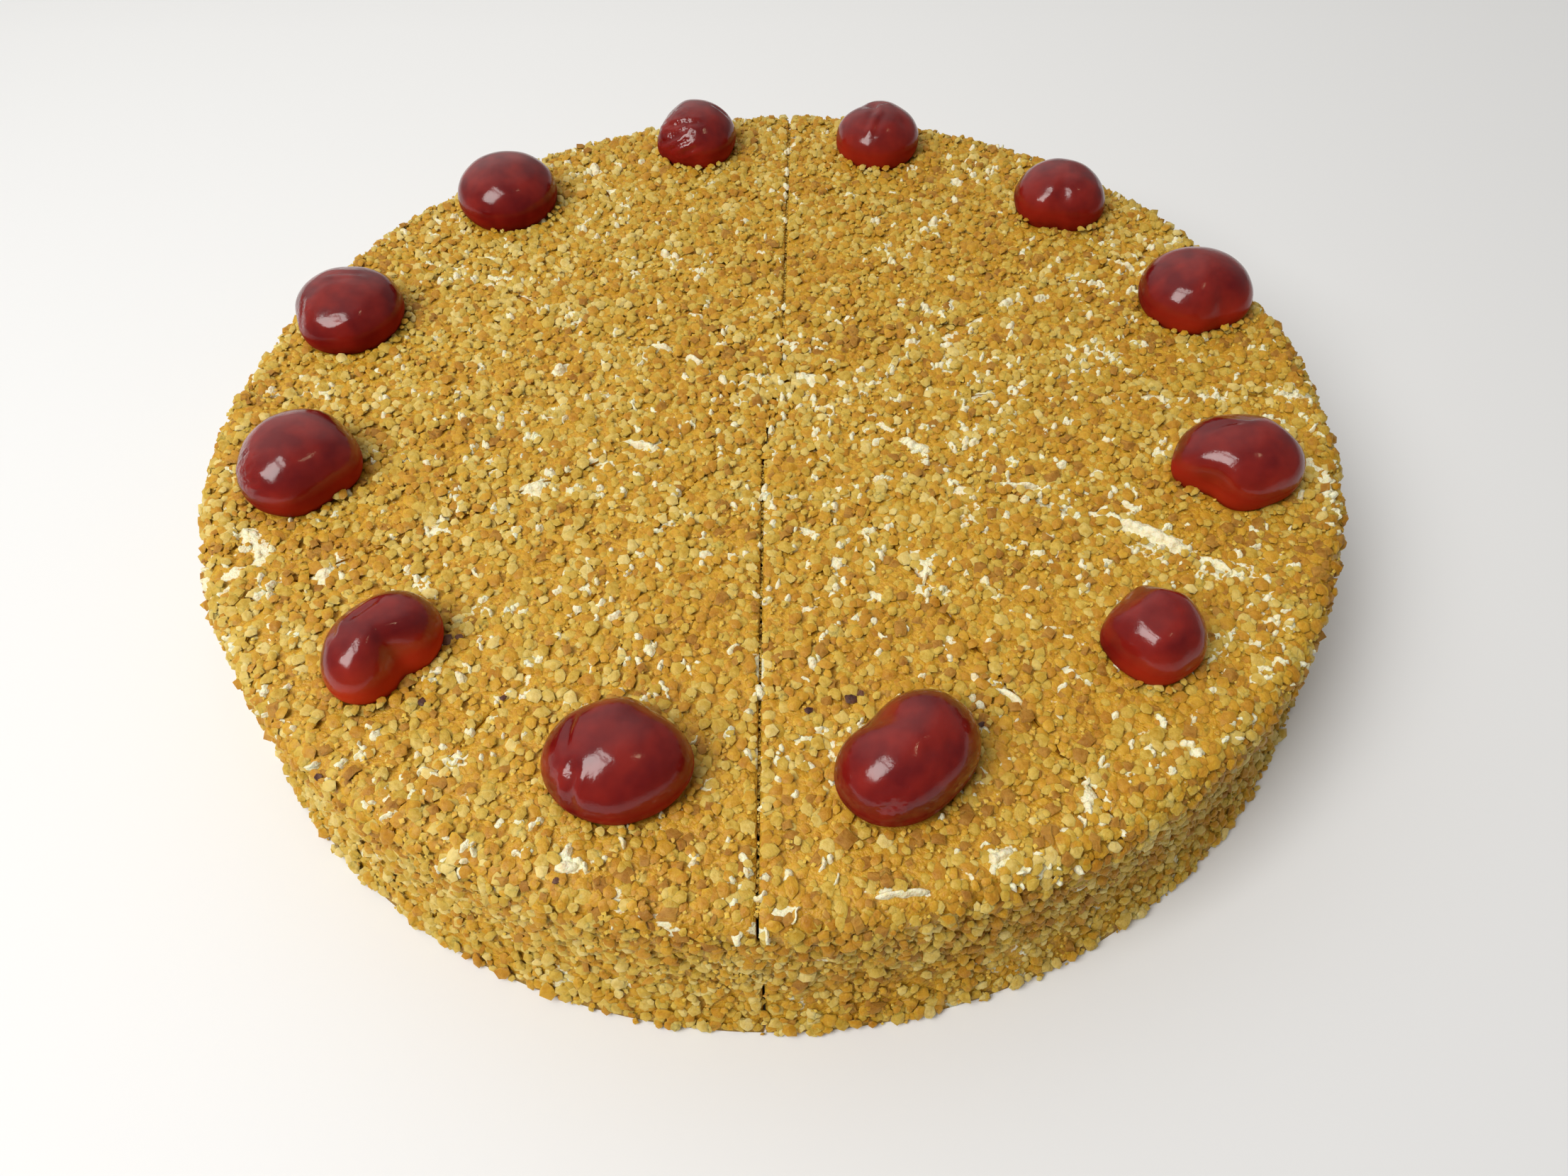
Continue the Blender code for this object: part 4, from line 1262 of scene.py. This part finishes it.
def octahedron():
    corners = np.array([(1, 0, 0), (0, 1, 0), (-1, 0, 0), (0, -1, 0), (0, 0, 1), (0, 0, -1)], float)
    upper = [(side, (side + 1) % 4, 4) for side in range(4)]
    lower = [((side + 1) % 4, side, 5) for side in range(4)]
    return corners, np.array(upper + lower)


def buildGrains(kind, solid, points, size, outward):
    form = grainForm
    corners, triangles = solid
    count = len(points)
    rough = draw.uniform(*form["lumps"], (count, len(corners), 1))
    shifted = corners[None] * rough + draw.uniform(-form["shift"], form["shift"], (count, len(corners), 3))
    breadth = draw.uniform(*form["breadth"], count)
    stretch = np.stack([np.ones(count), breadth, draw.uniform(*form["thickness"], count)], axis=1)
    shapes = np.einsum("nij,nvj->nvi", randomTurns(count), shifted) * stretch[:, None]
    shapes = np.einsum("nij,nvj->nvi", tiltedFrames(outward), shapes * (size / 2)[:, None, None])
    shapes = shapes + points[:, None]
    shapes[:, :, 2] = np.maximum(shapes[:, :, 2], 0.0)
    faces = (triangles[None] + (np.arange(count) * len(corners))[:, None, None]).reshape(-1, 3)
    item = meshObject(kind["name"], shapes.reshape(-1, 3), faces, krokantMaterial(kind))
    tone = 0.5 + form["toneSpread"] * draw.uniform(-1.0, 1.0, count)
    tone = tone + form["toneDrift"] * softNoise(points, form["toneSize"], seeds["tone"])
    storeNumbers(item, "tone", np.repeat(np.clip(tone, 0.0, 1.0), len(corners)))
    # worn and half sunk in cream, a grain shades softer than its corners would
    away = unit(shapes - points[:, None])
    lean = outward + np.array([0.0, 0.0, form["wallLean"]]) * (1.0 - outward[:, 2:])
    leaning = unit(away * (1.0 - form["worn"]) + lean[:, None] * form["worn"])
    item.data.normals_split_custom_set_from_vertices(leaning.reshape(-1, 3))
    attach(item, "root")
    print(kind["name"], count, "grains,", len(faces), "triangles")


solids = {"lump": icosahedron(), "chip": hexahedron(), "bit": octahedron()}
grainPoints, grainSizes, grainOutward, grainKinds = layKrokant()
for number, kind in enumerate(krokantKinds):
    mine = grainKinds == number
    buildGrains(kind, solids[kind["solid"]], grainPoints[mine], grainSizes[mine], grainOutward[mine])


# The finest bits, sifted between the grains and down into the open cuts

fineLook = {
    "name": "krokantFine",
    "roughness": 0.45,
    "dark": (0.44, 0.190, 0.012),
    "light": (0.80, 0.50, 0.075),
}
cutBits = {
    "number": 600,
    "size": (0.5 * mm, 0.9 * mm),
    "depth": (0.4 * mm, 1.6 * mm),
    "aside": (-0.25, 0.25),
    "rimRoom": 3.0 * mm,
}


def bitsInCut(cut, start):
    bits = cutBits
    count = bits["number"]
    out = draw.uniform(start, torteForm["rimRadius"] - bits["rimRoom"], count)
    aside = cutWander(cut, out) + draw.uniform(*bits["aside"], count) * mm
    height = torteForm["topHeight"] - torteForm["krokantDepth"] - draw.uniform(*bits["depth"], count)
    points = np.stack([*alongCut(cut, out, aside), height], axis=1)
    return points, draw.uniform(*bits["size"], count), np.tile((0.0, 0.0, 1.0), (count, 1))


fineLayers = [laidLayer("fine", scatteredPlaces)]
fineLayers += [bitsInCut(cut, start) for cut, start in krokantLaying["cutStarts"].items()]
buildGrains(fineLook, solids["bit"], *(np.concatenate(values) for values in zip(*fineLayers)))
print("krokant laid")


# The few scorched bits among the pale krokant: x, y, size, all in millimetres

scorchedBits = [
    (8.4, -81.4, 1.9), (15.9, -79.0, 2.6), (17.6, -78.2, 1.7), (-57.3, -66.9, 2.8), (-55.4, -66.0, 2.0),
    (-45.1, -79.4, 1.5), (-58.9, -79.9, 1.8), (-73.5, -93.4, 1.6), (-30.7, -112.3, 1.6), (38.0, -84.0, 1.4),
]
scorchedLook = {
    "name": "krokantScorched",
    "roughness": 0.5,
    "dark": (0.030, 0.008, 0.012),
    "light": (0.16, 0.065, 0.030),
    "rise": 1.1 * mm,
}


def buildScorchedBits():
    x, y, size = (np.array(scorchedBits) * mm).T
    points, outward = creamSurface(np.hypot(x, y), np.arctan2(y, x) % math.tau)
    points = points + outward * scorchedLook["rise"]
    buildGrains(scorchedLook, solids["lump"], points, size, outward)


buildScorchedBits()


# The plain floor, the light and the camera

floorLook = {
    "half": 6.0,
    "near": -0.16,
    "far": 0.26,
    "nearColour": (0.78, 0.78, 0.78),
    "farColour": (0.96, 0.96, 0.95),
}


def buildFloor():
    # pale and plain, a little darker toward the front
    look = floorLook
    material = newMaterial("paleFloor", Roughness=0.6)
    place = addNode(material, "ShaderNodeTexCoord").outputs["Object"]
    backward = addNode(material, "ShaderNodeSeparateXYZ", {"Vector": place}).outputs["Y"]
    reach = {"Value": backward, "From Min": look["near"], "From Max": look["far"]}
    share = addNode(material, "ShaderNodeMapRange", reach).outputs["Result"]
    colours = (look["nearColour"], look["farColour"])
    toShader(material, "Base Color", colourRamp(material, share, (0.0, 1.0), colours))
    half = look["half"]
    corners = [(-half, -half, 0), (half, -half, 0), (half, half, 0), (-half, half, 0)]
    meshObject("paleFloor", corners, [(0, 1, 2, 3)], material)


lighting = {
    "brightSide": (-0.35, 0.60, 0.72),  # the soft light from around is strongest from above and behind
    "roomStops": (0.30, 0.80, 0.97),
    "roomGreys": (0.14, 0.31, 0.82),
    "window": {"azimuth": -139.0, "rise": 50.0, "distance": 0.90, "size": (0.396, 0.45), "power": 5.35,
               "colour": (1.0, 0.985, 0.96)},
    "upperPane": {"azimuth": -139.0, "rise": 70.0, "distance": 0.90, "size": (0.396, 0.09), "power": 1.07,
                  "colour": (1.0, 0.985, 0.96)},
    "lamp": {"azimuth": -22.0, "rise": 68.0, "distance": 1.6, "size": (0.14, 0.075), "power": 0.42,
             "colour": (1.0, 0.80, 0.50)},
}


def areaLight(name, look):
    light = bpy.data.lights.new(name, "AREA")
    light.shape = "RECTANGLE"
    light.size, light.size_y = look["size"]
    light.energy = look["power"]
    light.color = look["colour"]
    lamp = bpy.data.objects.new(name, light)
    back = Vector(pointing(look["azimuth"], look["rise"]))
    lamp.location = back * look["distance"]
    lamp.rotation_euler = back.to_track_quat("Z", "Y").to_euler()
    bpy.context.scene.collection.objects.link(lamp)


def setWorld():
    world = bpy.data.worlds.new("paleRoom")
    world.use_nodes = True
    outward = addNode(world, "ShaderNodeTexCoord").outputs["Generated"]
    toward = addNode(world, "ShaderNodeVectorMath", {0: outward, 1: lighting["brightSide"]},
                     operation="DOT_PRODUCT").outputs["Value"]
    share = addNode(world, "ShaderNodeMapRange", {"Value": toward, "From Min": -1.0}).outputs["Result"]
    colour = colourRamp(world, share, lighting["roomStops"], greys(*lighting["roomGreys"]))
    world.node_tree.links.new(colour, world.node_tree.nodes["Background"].inputs["Color"])
    bpy.context.scene.world = world


cameraPlace = {
    "aim": (3.7 * mm, -54.4 * mm, 38.3 * mm),
    "distance": 198.3 * mm,
    "heading": 92.51,
    "fall": 52.34,
    "roll": -1.82,
    "sensor": 36.0,
    "focalPixels": 1479.5,
    "imageWidth": 2212,
    "nearest": 0.01,
}


def placeCamera():
    place = cameraPlace
    forward = Vector(pointing(place["heading"], -place["fall"]))
    level = forward.cross(Vector((0, 0, 1))).normalized()
    upright = level.cross(forward)
    roll = math.radians(place["roll"])
    right = level * math.cos(roll) + upright * math.sin(roll)
    up = upright * math.cos(roll) - level * math.sin(roll)
    data = bpy.data.cameras.new("camera")
    data.sensor_fit = "HORIZONTAL"
    data.sensor_width = place["sensor"]
    data.lens = place["sensor"] * place["focalPixels"] / place["imageWidth"]
    data.clip_start = place["nearest"]
    camera = bpy.data.objects.new("camera", data)
    turn = Matrix((right, up, -forward)).transposed().to_4x4()
    camera.matrix_world = Matrix.Translation(Vector(place["aim"]) - forward * place["distance"]) @ turn
    bpy.context.scene.collection.objects.link(camera)
    bpy.context.scene.camera = camera


buildFloor()
setWorld()
for name in ("window", "upperPane", "lamp"):
    areaLight(name, lighting[name])
placeCamera()
bpy.context.scene.view_settings.view_transform = "Standard"
print("floor, light and camera placed")
